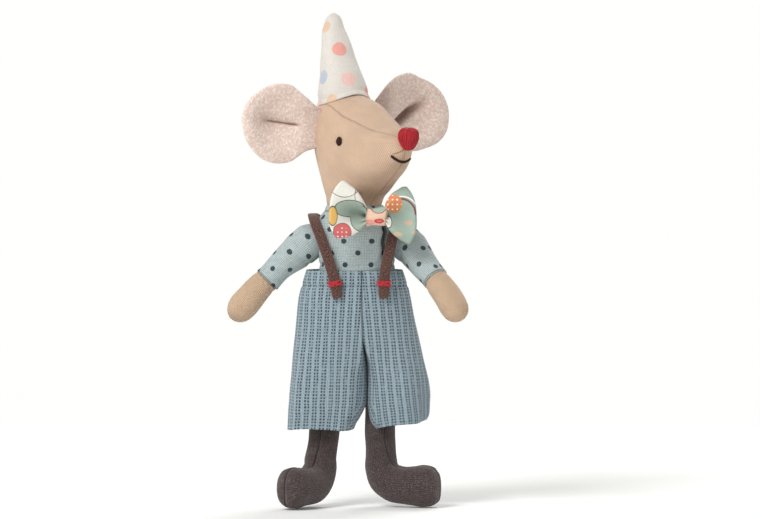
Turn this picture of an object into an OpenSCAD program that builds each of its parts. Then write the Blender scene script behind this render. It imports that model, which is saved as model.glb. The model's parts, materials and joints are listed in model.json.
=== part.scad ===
// Dressed cloth mouse doll: pointed hat, floppy ears, bow tie, dotted shirt, braces and striped shorts.
// Millimetres, +Z up, soles on z = 0, the doll faces -Y and its own left hand is on +X.

/* [Cloth] */
// Thickness of the sewn fabric
cloth = 0.6; // [0.4:0.1:0.8]
// Gap between the fabric and the filling under it
fill_gap = 0.15; // [0.1:0.05:0.3]
// Gap between pieces that move against each other
joint_gap = 0.4; // [0.3:0.05:0.5]

/* [Torso] */
// Half width of the shirt at the chest
chest_half_w = 13.5; // [13.2:0.1:13.7]
// Half depth of the shirt at the chest
chest_half_d = 10.2; // [9.8:0.1:10.4]
// Height of the bottom of the torso
torso_bottom_z = 61; // [60.8:0.1:62]
// Height of the collar
collar_z = 107.5; // [106.5:0.1:107.8]

/* [Head] */
// Height of the neck ball that the head turns on
neck_z = 112; // [111.5:0.1:112.5]
// Radius of the neck ball
neck_r = 10.5; // [10:0.1:10.6]
// How far the head is turned from straight ahead, in degrees
head_yaw = 34; // [25:1:40]
// Radius of the stitched nose
nose_r = 4; // [3.5:0.1:4.2]
// Width of the crown gusset between the two side panels
gusset_w = 19; // [16:0.5:20]

/* [Ears] */
// Radius of an ear
ear_r = 14.4; // [13:0.1:14.8]
// How deep an ear is cupped
ear_cup = 2.6; // [1.5:0.1:3]
// Thickness of one ear layer
ear_cloth = 0.9; // [0.7:0.1:1]

/* [Hat] */
// Radius of the hat where it meets the crown
hat_r = 8.7; // [8:0.1:9]
// Height of the hat along its own axis
hat_h = 32; // [28:0.5:33]
// How far the hat leans back, in degrees
hat_lean = 15; // [10:1:18]

/* [Arms] */
// Distance of each shoulder from the middle of the torso
shoulder_x = 16.8; // [16.6:0.1:17]
// Height of the shoulders
shoulder_z = 96; // [95.6:0.1:96.4]
// Radius of the shoulder end of a sleeve
shoulder_r = 6.4; // [6:0.1:6.5]
// Length of a sleeve from the shoulder to its cuff
sleeve_l = 21; // [20:0.1:22.5]
// Length of an arm from the shoulder to the tip of the hand
arm_l = 40; // [38:0.5:41.5]

/* [Legs] */
// Height of the hips
hip_z = 55; // [54.6:0.1:55.2]
// Radius of the hip end of a leg
hip_r = 5.4; // [5:0.1:5.5]
// Length of a foot from the ankle to the toe
foot_l = 23; // [20:0.5:24]

/* [Shorts] */
// Height of the top of the shorts
shorts_top_z = 85.6; // [84.5:0.1:86]
// Height of the hem
hem_z = 28.8; // [27:0.1:31]

/* [Braces] */
// Width of a brace
brace_w = 3.8; // [3:0.1:4.2]
// Thickness of a brace
brace_t = 1; // [0.8:0.1:1.1]

/* [Hidden] */

LEFT = 1;
RIGHT = -1;
// Middle of the finished doll's footprint, measured from the middle of the torso
middle_x = -3.41;
middle_y = -0.25;
// The neck stands a little to the doll's right of the middle of the torso
neck_x = -0.7;
// Room round a sleeve where it is sewn into the shirt
armhole_room = 0.8;
// Gap along a sewn seam
seam = 0.06;
// Thickness of the slices that hulls are stretched between
thin = 0.01;
// Larger than any part, for cutting
big = 200;
// Facets round a soft solid, and round a small trim piece
soft_fn = 20;
trim_fn = 13;

// Torso slices from the bottom up: [z, half width, half depth]
TORSO = [
    [torso_bottom_z, chest_half_w - 2.2, chest_half_d - 2.4],
    [torso_bottom_z + 1.5, chest_half_w - 0.4, chest_half_d - 0.6],
    [torso_bottom_z + 5, chest_half_w + 0.6, chest_half_d + 0.2],
    [78, chest_half_w + 0.2, chest_half_d + 0.2],
    [88, chest_half_w - 0.2, chest_half_d + 0.2],
    [97, chest_half_w, chest_half_d],
    [102.5, chest_half_w - 0.6, chest_half_d - 0.2],
    [105.5, chest_half_w - 2, chest_half_d - 0.6],
    [collar_z, chest_half_w - 3.4, chest_half_d - 1],
];

// Head slices from the neck up: [z, middle, back, front, half width], the last four along and across the snout
HEAD = [
    [neck_z, 0, neck_r, 12.4, neck_r],
    [114.4, 0, 11.6, 17.2, 11],
    [118.8, -0.3, 13, 24, 11.9],
    [122, -0.5, 13.8, 28.4, 12.6],
    [125.3, -0.7, 14.4, 31.5, 13.2],
    [129, -1, 15, 33.2, 13.7],
    [132.6, -1.2, 15.3, 33.6, 13.9],
    [136.1, -1.8, 15.2, 27.6, 13.6],
    [138.5, -2.6, 14.9, 25, 13.1],
    [141.9, -4, 13.4, 21.5, 11.5],
    [145.1, -5, 11.2, 17, 9.7],
    [148, -5.5, 7.2, 9, 6.2],
    [149.8, -6, 3.2, 3.6, 2.8],
];
snout_power = 4 / 3;
nose_at = [33.2, 0, 132.6];
gusset_z = 133.7;
eye_at = [8.2, 12.1, 132.1];
eye_r = 1.6;
mouth_z = 124.4;
mouth_half_w = 4.4;

// The hat stands on the crown, behind the turning axis
hat_at = [-7.5, 0, 147.4];
hat_tip_r = 2.2;
hat_sink = 8;

// Ear roots beside the head: along the snout, out to the side, and height
ear_root_f = -5.5;
ear_root_s = 15.4;
left_ear_z = 141;
right_ear_z = 138;
ear_chord = 0.7;
ear_centre_u = 13.4;

// Bow tie: knot, then the far corners of each loop
knot_at = [7.4, -16.8, 104.7];
BOW_RIGHT = [[-8.4, -20, 113.6], [-6, -18.4, 117], [-8.4, -19.4, 98.6], [-3, -18.4, 98.4]];
BOW_LEFT = [[17.2, -16.6, 114.4], [20.2, -16.4, 108], [20.4, -16.6, 100.8], [18.4, -17, 97.6]];
bow_r = 1.3;

// Directions of the arms: swing from straight sideways, and drop below level
left_arm_swing = 45;
left_arm_drop = 43;
right_arm_swing = 0;
right_arm_drop = 45;
// Arm slices: [distance from the shoulder, half height, half depth]
ARM = [
    [4, 6.3, 5.6], [11, 5.7, 5.2], [17, 5, 4.7], [sleeve_l, 4.6, 4.4],
    [26, 4.8, 4.5], [33, 5.1, 4.7], [arm_l - 2.5, 4.2, 3.9], [arm_l, 1.9, 1.8],
];

// Legs: hip, ankle and how far each foot is turned out
left_hip_x = 8.5;
right_hip_x = -9;
left_ankle_x = 8.3;
right_ankle_x = -13;
left_foot_yaw = 72;
right_foot_yaw = 34;
ankle_z = 17;
leg_r = 5.4;
// Foot slices from the sole up: [height, middle, half length, half width], measured ahead of the ankle
FOOT = [
    [0, 7.8, 10.5, 2.6],
    [1, 8, 13, 4.6],
    [3, 8.3, 14.4, 6],
    [6.5, 8.4, foot_l - 8.2, 6.8],
    [10, 8.4, foot_l - 8.6, 6.4],
    [13, 8.2, foot_l - 10.2, 5],
    [14.2, 6, 10.4, 4.4],
    [16.2, 0.4, 6.2, leg_r],
];

// Shorts slices: waist [z, middle, half width, half depth], then each leg from the hem up
WAIST = [
    [torso_bottom_z + 0.1, 0.1, 21.6, 12.4],
    [70, 0, 20, 12.2],
    [78, -0.4, 18.6, 12],
    [shorts_top_z, -0.7, 17.2, 11.8],
];
LEFT_SHORTS = [[hem_z, 13.8, 11.6, 10.4], [40, 13.2, 11.6, 10.8], [torso_bottom_z - 0.5, 11, 10.5, 11.6]];
RIGHT_SHORTS = [[hem_z, -12.7, 12.2, 10.4], [40, -12, 11.6, 10.8], [torso_bottom_z - 0.5, -10.7, 10.4, 11.6]];

// Braces from the front of the shorts, over the shoulder, to the back of the shorts
LEFT_BRACE = [
    [9.6, -13.1, 75.8], [9.8, -13, 81.6], [10.3, -12.5, 86.4], [11.4, -11.5, 91.5],
    [12.8, -10.1, 97.5], [14, -7.6, 102.2], [14.5, -3.5, 105], [14.5, 0.5, 105.4],
    [14.2, 5, 104.4], [13.4, 8.8, 100], [12, 10.6, 94], [10, 12, 87.5], [8.6, 13, 81.6], [7.6, 13.1, 75.8],
];
RIGHT_BRACE = [
    [-6.9, -13.1, 75.8], [-7.9, -13, 81.6], [-9.2, -12.5, 86.4], [-10.8, -11.6, 91.5],
    [-12.9, -10.1, 97.5], [-14.8, -7.6, 102.2], [-15.7, -3.5, 105], [-15.7, 0.5, 105.4],
    [-15, 5, 104.4], [-13.8, 8.8, 100], [-12, 10.6, 94], [-10, 12, 87.5], [-8.6, 13, 81.6], [-7.6, 13.1, 75.8],
];
tie_r = 0.55;
tie_pitch = 0.95;
tie_proud = 1.1;

// ---- shared shapes ----

// Puts a piece drawn from the middle of the torso on the finished doll's own origin.
module on_origin() translate([-middle_x, -middle_y, 0]) children();

// Points round a rounded box; power 2 is an ellipse and more is squarer.
function rounded(half_w, half_d, power) = [
    for (i = [0:soft_fn - 1])
        let (a = 360 * i / soft_fn, c = cos(a), s = sin(a))
        [half_w * sign(c) * pow(abs(c), 2 / power), half_d * sign(s) * pow(abs(s), 2 / power)]
];

// Points round a slice of the head: round behind, drawn out towards the snout in front.
function egg(middle, back, front, half_w) = [
    for (i = [0:soft_fn - 1])
        let (a = 360 * i / soft_fn, c = cos(a))
        [middle + (c > 0 ? front * pow(c, snout_power) : back * c), half_w * sin(a)]
];

module slice(z, points) translate([0, 0, z]) linear_extrude(thin) polygon(points);

// Stretches a skin between neighbouring slices, each of them [height, outline].
module stacked(slices) {
    for (i = [0:len(slices) - 2])
        hull() {
            slice(slices[i][0], slices[i][1]);
            slice(slices[i + 1][0], slices[i + 1][1]);
        }
}

// Slices of half a ball whose flat side is at height z; up is 1 or -1.
function half_ball(z, r, up, at = [0, 0]) = [
    for (a = up > 0 ? [0, 25, 50, 72] : [-72, -50, -25])
        [z + r * sin(a), moved(rounded(r * cos(a), r * cos(a), 2), at)]
];

function moved(points, by) = [for (p = points) [p[0] + by[0], p[1] + by[1]]];

module half_space(direction) {
    translate([direction[0] * (big / 2 + seam), direction[1] * (big / 2 + seam), 0])
        cube(big * [1, 1, 2], center = true);
}

// ---- torso ----

function pulled_in(z, inset) = min(max(z, TORSO[0][0] + inset), collar_z - inset);

module torso_form(inset) {
    stacked([for (s = TORSO) [pulled_in(s[0], inset), rounded(s[1] - inset, s[2] - inset, 2.8)]]);
}

// Room for the two sleeve ends and the neck, which turn in the torso.
module torso_sockets(extra) {
    for (side = [LEFT, RIGHT])
        translate([side * shoulder_x, 0, shoulder_z])
            sphere(r = shoulder_r + armhole_room + extra, $fn = soft_fn);
    translate([neck_x, 0, neck_z])
        sphere(r = neck_r + joint_gap + extra, $fn = soft_fn);
}

module shirt_half(front) {
    difference() {
        intersection() {
            torso_form(0);
            half_space([0, front ? -1 : 1]);
        }
        torso_form(cloth);
        torso_sockets(0);
    }
}

module shirt_front() color("#a8b4b3") on_origin() shirt_half(true);
module shirt_back() color("#a8b4b3") on_origin() shirt_half(false);

module torso_stuffing() {
    color("#f3efe6") on_origin() difference() {
        torso_form(cloth + fill_gap);
        torso_sockets(cloth);
    }
}

// ---- head ----

// The head's own frame: X runs along the snout and Y to the doll's left.
module head_frame() translate([neck_x, 0, 0]) rotate([0, 0, head_yaw - 90]) children();

// A half ball at the neck, with the head drawn out above it.
module head_form(inset) {
    top = HEAD[len(HEAD) - 1][0] - inset;
    stacked(concat(
        half_ball(neck_z, neck_r - inset, -1),
        [for (s = HEAD) [min(s[0], top), egg(s[1], s[2] - inset, s[3] - inset, s[4] - inset)]]
    ));
}

module gusset_wedge(extra) {
    half = gusset_w / 2 + extra;
    translate([0, 0, gusset_z]) linear_extrude(big)
        polygon([[-6, -half], [4, -half], [30, -2 - extra], [40, -2 - extra], [40, 2 + extra], [30, 2 + extra],
                 [4, half], [-6, half], [-14, 4 + extra], [-20, 1 + extra], [-20, -1 - extra], [-14, -4 - extra]]);
}

module head_side_panel(side) {
    head_frame() difference() {
        intersection() {
            head_form(0);
            half_space([0, side]);
        }
        head_form(cloth);
        gusset_wedge(seam);
    }
}

module head_left_panel() color("#d8bd9d") on_origin() head_side_panel(LEFT);
module head_right_panel() color("#d8bd9d") on_origin() head_side_panel(RIGHT);

module head_crown_gusset() {
    color("#d8bd9d") on_origin() head_frame() intersection() {
        difference() {
            head_form(0);
            head_form(cloth);
        }
        gusset_wedge(-seam);
    }
}

module head_stuffing() {
    color("#f3efe6") on_origin() head_frame() difference() {
        head_form(cloth + fill_gap);
        translate([0, 0, neck_z]) sphere(r = neck_r - cloth, $fn = soft_fn);
        // Nothing is left beside the neck ball, only above it.
        translate([0, 0, neck_z + neck_r / 2 - big]) cube(2 * big, center = true);
    }
}

module nose() {
    color("#9a2d32") on_origin() head_frame() difference() {
        translate(nose_at) sphere(r = nose_r, $fn = soft_fn);
        head_form(-seam);
    }
}

module eye(side) {
    color("#3a2418") on_origin() head_frame() difference() {
        translate([eye_at[0], side * eye_at[1], eye_at[2]]) sphere(r = eye_r, $fn = trim_fn);
        head_form(-seam);
    }
}

module left_eye() eye(LEFT);
module right_eye() eye(RIGHT);

// A stitched smile: short straight stitches that follow the front of the snout.
module mouth() {
    steps = 8;
    color("#3a2418") on_origin() head_frame() difference() {
        for (i = [0:steps - 1])
            hull() for (k = [i, i + 1])
                let (s = mouth_half_w * (2 * k / steps - 1), rise = 1.9 * pow(s / mouth_half_w, 2))
                translate([30.3 - 0.075 * s * s, s, mouth_z + rise]) sphere(r = 0.6, $fn = 10);
        head_form(-seam);
    }
}

// ---- hat ----

module hat_frame() head_frame() translate(hat_at) rotate([0, -hat_lean, 0]) children();

module hat_form(inset) {
    hull() {
        translate([0, 0, -hat_sink]) cylinder(r = hat_r + hat_sink * 0.2 - inset, h = thin, $fn = soft_fn);
        translate([0, 0, hat_h - hat_tip_r]) sphere(r = hat_tip_r - inset, $fn = soft_fn);
    }
}

module hat_cone() {
    color("#eee7de") on_origin() difference() {
        hat_frame() hat_form(0);
        hat_frame() hat_form(cloth);
        hat_frame() translate([0, 0, -hat_sink]) cube([big, big, 0.2], center = true);
        head_frame() head_form(-seam);
    }
}

module hat_stuffing() {
    color("#f3efe6") on_origin() difference() {
        hat_frame() hat_form(cloth + fill_gap);
        head_frame() head_form(-fill_gap);
    }
}

// ---- ears ----

// The ear's own frame: X points away from the head, Y to the back and Z up, with the root on the Z axis.
module ear_frame(side) {
    head_frame()
        translate([ear_root_f, side * ear_root_s, side == LEFT ? left_ear_z : right_ear_z])
        rotate([0, 0, side == LEFT ? 94 : -94])
        mirror([0, side == LEFT ? 0 : 1, 0])
        rotate([0, -6, 0])
        children();
}

// One layer of an ear: a shallow cup, cut straight along its root.
module ear_layer(side, from) {
    steps = 8;
    rim = [for (i = [0:steps]) ear_r * i / steps];
    profile = concat(
        [for (r = rim) [r, from + ear_cup * pow(r / ear_r, 2)]],
        [for (i = [steps:-1:0]) [rim[i], from + ear_cloth + ear_cup * pow(rim[i] / ear_r, 2)]]
    );
    ear_frame(side) intersection() {
        translate([ear_centre_u, ear_cup, 0]) rotate([90, 0, 0]) rotate_extrude($fn = 48) polygon(profile);
        translate([ear_chord, -big / 2, -big / 2]) cube(big);
    }
}

module left_ear_front() color("#ddc6b9") on_origin() ear_layer(LEFT, 0.03);
module left_ear_back() color("#d8bd9d") on_origin() ear_layer(LEFT, -ear_cloth - 0.03);
module right_ear_front() color("#ddc6b9") on_origin() ear_layer(RIGHT, 0.03);
module right_ear_back() color("#d8bd9d") on_origin() ear_layer(RIGHT, -ear_cloth - 0.03);

// ---- neck and bow tie ----

module neck_wadding() {
    color("#f3efe6") on_origin() translate([neck_x, 0, neck_z])
        sphere(r = neck_r - cloth - 2 * joint_gap, $fn = soft_fn);
}

module bow_loop(side, corners) {
    hull() {
        for (dz = [-2.4, 2.4])
            translate(knot_at + [side * 4.6, 0, dz]) sphere(r = bow_r, $fn = trim_fn);
        for (p = corners)
            translate(p) sphere(r = bow_r, $fn = trim_fn);
    }
}

module bow_left_loop() color("#9bb29c") on_origin() bow_loop(LEFT, BOW_LEFT);
module bow_right_loop() color("#e8e4da") on_origin() bow_loop(RIGHT, BOW_RIGHT);

module bow_knot() {
    color("#e0b79c") on_origin() translate(knot_at) hull()
        for (dx = [-1.3, 1.3], dz = [-1.6, 1.6])
            translate([dx, 0, dz]) sphere(r = 1.9, $fn = trim_fn);
}

// ---- arms ----

// The arm's own frame: X runs from the shoulder to the hand.
module arm_frame(side) {
    swing = side == LEFT ? -left_arm_swing : 180 + right_arm_swing;
    drop = side == LEFT ? left_arm_drop : right_arm_drop;
    translate([side * shoulder_x, 0, shoulder_z]) rotate([0, drop, swing]) children();
}

// Half a ball in the shoulder, then slices along X with their height across the arm.
module arm_form(inset) {
    r = shoulder_r - inset;
    tip = ARM[len(ARM) - 1][0] - inset;
    rotate([0, 90, 0]) stacked(concat(
        half_ball(0, r, -1),
        [[0, rounded(r, r, 2)]],
        [for (s = ARM) [min(s[0], tip), rounded(s[1] - inset, s[2] - inset, 2)]]
    ));
}

module arm_skin(side, from, to) {
    arm_frame(side) intersection() {
        difference() {
            arm_form(0);
            arm_form(cloth);
        }
        translate([from, -big / 2, -big / 2]) cube([to - from, big, big]);
    }
}

module arm_filling(side) {
    arm_frame(side) difference() {
        arm_form(cloth + fill_gap);
        sphere(r = shoulder_r - cloth, $fn = soft_fn);
        // The filling starts part of the way along the shoulder wadding.
        translate([shoulder_r * 0.7 - big, 0, 0]) cube(2 * big, center = true);
    }
}

module shoulder_filling(side) {
    translate([side * shoulder_x, 0, shoulder_z])
        sphere(r = shoulder_r - cloth - joint_gap, $fn = soft_fn);
}

module left_shoulder_wadding() color("#f3efe6") on_origin() shoulder_filling(LEFT);
module right_shoulder_wadding() color("#f3efe6") on_origin() shoulder_filling(RIGHT);
module left_sleeve() color("#adb7b6") on_origin() arm_skin(LEFT, -big, sleeve_l);
module right_sleeve() color("#adb7b6") on_origin() arm_skin(RIGHT, -big, sleeve_l);
module left_hand() color("#dabea1") on_origin() arm_skin(LEFT, sleeve_l + seam, big);
module right_hand() color("#dabea1") on_origin() arm_skin(RIGHT, sleeve_l + seam, big);
module left_arm_stuffing() color("#f3efe6") on_origin() arm_filling(LEFT);
module right_arm_stuffing() color("#f3efe6") on_origin() arm_filling(RIGHT);

// ---- legs ----

function hip_x(side) = side == LEFT ? left_hip_x : right_hip_x;
function ankle_x(side) = side == LEFT ? left_ankle_x : right_ankle_x;
function foot_yaw(side) = side == LEFT ? left_foot_yaw - 90 : -90 - right_foot_yaw;

// The foot's own frame stands on the floor under the ankle: X runs to the toe.
module foot_frame(side) translate([ankle_x(side), 0, 0]) rotate([0, 0, foot_yaw(side)]) children();

// Where the middle of the leg is at a height, in the foot's own frame.
function leg_middle(side, z) =
    let (a = foot_yaw(side), shift = (hip_x(side) - ankle_x(side)) * (z - ankle_z) / (hip_z - ankle_z))
    [shift * cos(a), -shift * sin(a)];

// A foot that is flat underneath, a straight leg and half a ball at the hip.
module leg_form(side, inset) {
    r = leg_r - inset;
    stacked(concat(
        [for (s = FOOT) [max(s[0], inset), moved(rounded(s[2] - inset, s[3] - inset, 2.4), [s[1], 0])]],
        [for (z = [20, 32, 44]) [z, moved(rounded(r, r, 2), leg_middle(side, z))]],
        half_ball(hip_z, hip_r - inset, 1, leg_middle(side, hip_z))
    ));
}

// One side of the seam that runs down the leg and round the toe.
module leg_panel(side, outer) {
    turn = (outer ? 1 : -1) * side;
    foot_frame(side) difference() {
        intersection() {
            leg_form(side, 0);
            half_space([0, turn]);
        }
        leg_form(side, cloth);
    }
}

module left_leg_outer_panel() color("#423837") on_origin() leg_panel(LEFT, true);
module left_leg_inner_panel() color("#544848") on_origin() leg_panel(LEFT, false);
module right_leg_outer_panel() color("#423837") on_origin() leg_panel(RIGHT, true);
module right_leg_inner_panel() color("#544848") on_origin() leg_panel(RIGHT, false);
module left_leg_stuffing() color("#f3efe6") on_origin() foot_frame(LEFT) leg_form(LEFT, cloth + fill_gap);
module right_leg_stuffing() color("#f3efe6") on_origin() foot_frame(RIGHT) leg_form(RIGHT, cloth + fill_gap);

// ---- shorts ----

module shorts_tube(slices, inset, reach) {
    last = len(slices) - 1;
    stacked([
        for (i = [0:last])
            let (s = slices[i], end = i == 0 ? -reach : i == last ? reach : 0)
            [s[0] + end, moved(rounded(s[2] - inset, s[3] - inset, 2.3), [s[1], 0])]
    ]);
}

// The hulls are cut from one another, so each tube has an open top and bottom.
module shorts_cloth(slices) {
    color("#7f8e96") on_origin() difference() {
        shorts_tube(slices, 0, 0);
        shorts_tube(slices, cloth, 1);
    }
}

module shorts_waist() shorts_cloth(WAIST);
module left_shorts_leg() shorts_cloth(LEFT_SHORTS);
module right_shorts_leg() shorts_cloth(RIGHT_SHORTS);

// ---- braces ----

module brace_rod(at) {
    translate(at) rotate([0, 90, 0]) cylinder(d = brace_t, h = brace_w, center = true, $fn = 12);
}

module brace(route) {
    color("#5f443d") on_origin() for (i = [0:len(route) - 2])
        hull() {
            brace_rod(route[i]);
            brace_rod(route[i + 1]);
        }
}

module left_brace() brace(LEFT_BRACE);
module right_brace() brace(RIGHT_BRACE);

// Three turns of thread across a brace, at the height where it is tied to the shorts.
module brace_tie(at, outward) {
    color("#8b4040") on_origin() translate(at + [0, outward * tie_proud, 0])
        for (i = [-1:1])
            translate([0, 0, i * tie_pitch]) rotate([0, 90, 0])
                cylinder(r = tie_r, h = brace_w + 0.8, center = true, $fn = trim_fn);
}

module left_brace_tie() brace_tie(LEFT_BRACE[1], -1);
module right_brace_tie() brace_tie(RIGHT_BRACE[1], -1);
module left_back_tie() brace_tie(LEFT_BRACE[12], 1);
module right_back_tie() brace_tie(RIGHT_BRACE[12], 1);

head_left_panel();
head_right_panel();
head_crown_gusset();
head_stuffing();
nose();
left_eye();
right_eye();
mouth();
hat_cone();
hat_stuffing();
left_ear_front();
left_ear_back();
right_ear_front();
right_ear_back();
neck_wadding();
bow_left_loop();
bow_right_loop();
bow_knot();
shirt_front();
shirt_back();
torso_stuffing();
shorts_waist();
left_brace();
right_brace();
left_brace_tie();
right_brace_tie();
left_back_tie();
right_back_tie();
left_shoulder_wadding();
right_shoulder_wadding();
left_sleeve();
left_hand();
left_arm_stuffing();
right_sleeve();
right_hand();
right_arm_stuffing();
left_leg_outer_panel();
left_leg_inner_panel();
left_leg_stuffing();
left_shorts_leg();
right_leg_outer_panel();
right_leg_inner_panel();
right_leg_stuffing();
right_shorts_leg();
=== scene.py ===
"""A dressed cloth mouse doll: cloth skins, clothes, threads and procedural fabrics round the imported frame."""
import json
import math

import bmesh
import bpy
import numpy as np
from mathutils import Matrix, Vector


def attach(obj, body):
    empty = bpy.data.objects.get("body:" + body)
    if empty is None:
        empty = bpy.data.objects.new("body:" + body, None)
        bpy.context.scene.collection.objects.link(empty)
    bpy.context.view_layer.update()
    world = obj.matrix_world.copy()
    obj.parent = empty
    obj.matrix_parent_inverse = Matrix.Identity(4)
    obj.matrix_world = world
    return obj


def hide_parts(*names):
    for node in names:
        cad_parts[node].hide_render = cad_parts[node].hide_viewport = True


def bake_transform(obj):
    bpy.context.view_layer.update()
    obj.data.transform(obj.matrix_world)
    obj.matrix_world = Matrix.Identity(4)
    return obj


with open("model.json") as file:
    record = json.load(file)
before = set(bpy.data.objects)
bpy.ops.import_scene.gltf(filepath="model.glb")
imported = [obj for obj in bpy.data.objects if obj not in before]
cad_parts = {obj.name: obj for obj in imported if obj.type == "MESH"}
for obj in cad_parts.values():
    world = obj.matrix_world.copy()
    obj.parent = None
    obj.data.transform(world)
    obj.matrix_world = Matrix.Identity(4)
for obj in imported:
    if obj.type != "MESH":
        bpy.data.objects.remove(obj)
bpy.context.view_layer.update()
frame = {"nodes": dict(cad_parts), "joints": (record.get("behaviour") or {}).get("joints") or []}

MM = 0.001
PIVOT = {j["name"]: np.array(j["pos_m"], float) / MM for j in frame["joints"]}
# The middle of the torso on the floor. Every shape below is in millimetres from here.
MIDDLE = (PIVOT["left_arm_swing"] + PIVOT["right_arm_swing"]) / 2 * [1, 1, 0]
PIVOT = {name: at - MIDDLE for name, at in PIVOT.items()}


def in_frame(points):
    """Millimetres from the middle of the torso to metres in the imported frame."""
    return (np.asarray(points, float) + MIDDLE) * MM


NAMES = {1: "left", -1: "right"}
# A seam distance that is out of reach of any stitching, in millimetres
FAR = 9.0


# ---------------------------------------------------------------- shapes


def hermite(t, step, a, b, slope_a, slope_b):
    """The value a share t of the way along a step from a to b."""
    return (
        (1 + 2 * t) * (1 - t) ** 2 * a
        + t * (1 - t) ** 2 * step * slope_a
        + t * t * (3 - 2 * t) * b
        + t * t * (t - 1) * step * slope_b
    )


def table(rows, at):
    """Rows of [position, value, ...] read at many positions, smoothly and without overshoot."""
    rows = np.array(rows, float)
    x, y = rows[:, 0], rows[:, 1:]
    step = np.diff(x)[:, None]
    slope = np.diff(y, axis=0) / step
    m = np.zeros_like(y)
    m[0], m[-1] = slope[0], slope[-1]
    a, b = slope[:-1], slope[1:]
    same = a * b > 0
    m[1:-1] = np.where(same, 2 * a * b / np.where(same, a + b, 1), 0)
    at = np.clip(np.asarray(at, float), x[0], x[-1])
    k = np.clip(np.searchsorted(x, at) - 1, 0, len(x) - 2)
    return hermite((at - x[k])[:, None] / step[k], step[k], y[k], y[k + 1], m[k], m[k + 1])


def curve(points, count):
    """A smooth curve through points, as count points spaced evenly along it."""
    points = np.array(points, float)
    padded = np.vstack([2 * points[0] - points[1], points, 2 * points[-1] - points[-2]])
    tangent = (padded[2:] - padded[:-2]) / 2
    fine = []
    for i in range(len(points) - 1):
        t = np.linspace(0, 1, 24, endpoint=i == len(points) - 2)[:, None]
        fine.append(hermite(t, 1, points[i], points[i + 1], tangent[i], tangent[i + 1]))
    fine = np.vstack(fine)
    along = np.concatenate([[0], np.cumsum(np.linalg.norm(np.diff(fine, axis=0), axis=1))])
    even = np.linspace(0, along[-1], count)
    return np.stack([np.interp(even, along, fine[:, k]) for k in range(3)], 1)


def ripple(points, size, seed):
    """A smooth, repeatable unevenness from -1 to 1 with bumps about size millimetres across."""
    count = 14
    rng = np.random.default_rng(seed)
    way = rng.normal(size=(count, 3))
    way /= np.linalg.norm(way, axis=1)[:, None]
    pitch = 2 * math.pi / (size * rng.uniform(1.2, 3.2, count))
    phase = rng.uniform(0, 2 * math.pi, count)
    return np.sin((points @ way.T) * pitch + phase).sum(-1) / math.sqrt(count) / 1.6


def near(distance, width):
    return np.exp(-((distance / width) ** 2))


def smooth(x, low, high):
    t = np.clip((x - low) / (high - low), 0, 1)
    return t * t * (3 - 2 * t)


def power(x, p):
    return np.sign(x) * np.abs(x) ** p


def stack(*values):
    """Values of one shape, or that broadcast to one, side by side in a last axis."""
    return np.stack(np.broadcast_arrays(*values), -1)


def circle(count):
    return np.linspace(0, 2 * math.pi, count, endpoint=False)


def lengths(points, axis):
    """Distance along a grid of points, starting at 0, in the direction of that axis."""
    step = np.linalg.norm(np.diff(points, axis=axis), axis=-1)
    start = np.zeros_like(np.take(step, [0], axis))
    return np.cumsum(np.concatenate([start, step], axis), axis)


def wrapped(points):
    return np.concatenate([points, points[:, :1]], 1)


def frames_along(path, up):
    """Tangents and two side directions along a path, the first side as near to up as it can be."""
    tangent = np.gradient(path, axis=0)
    tangent /= np.linalg.norm(tangent, axis=1)[:, None]
    up = np.broadcast_to(np.asarray(up, float), path.shape)
    side = up - (up * tangent).sum(1)[:, None] * tangent
    side /= np.linalg.norm(side, axis=1)[:, None]
    return tangent, side, np.cross(tangent, side)


def tube(path, a, b, half_a, half_b, c, s):
    """Rings round a path, with half sizes along its directions a and b, and the way out at each point."""
    out = (half_a[:, None] * c)[..., None] * a[:, None] + (half_b[:, None] * s)[..., None] * b[:, None]
    return path[:, None] + out, out / np.linalg.norm(out, axis=-1)[..., None]


def patch(points, uv, poles=(True, True), seam=None, keep=None):
    """A grid of points whose rows are rings; poles says which end rows are shut, keep which faces stay."""
    return {"points": points, "uv": uv, "poles": poles, "seam": seam, "keep": keep}


def rod(path, radius, up=(0, 0, 1), columns=10, rounded=True):
    """A round rod along a path."""
    path = np.asarray(path, float)
    radii = np.full(len(path), float(radius))
    _, a, b = frames_along(path, up)
    if rounded:
        end = np.array([0.35, 0.75, 0.95])
        radii[:3] *= end
        radii[-3:] *= end[::-1]
    turn = circle(columns)
    points, _ = tube(path, a, b, radii, radii, np.cos(turn), np.sin(turn))
    u = np.linspace(0, 2 * math.pi, columns + 1) * radius
    return patch(points, stack(u[None], lengths(path[:, None], 0)[:, :1]))


def place(name, data):
    obj = bpy.data.objects.new(name, data)
    bpy.context.scene.collection.objects.link(obj)
    return obj


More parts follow.
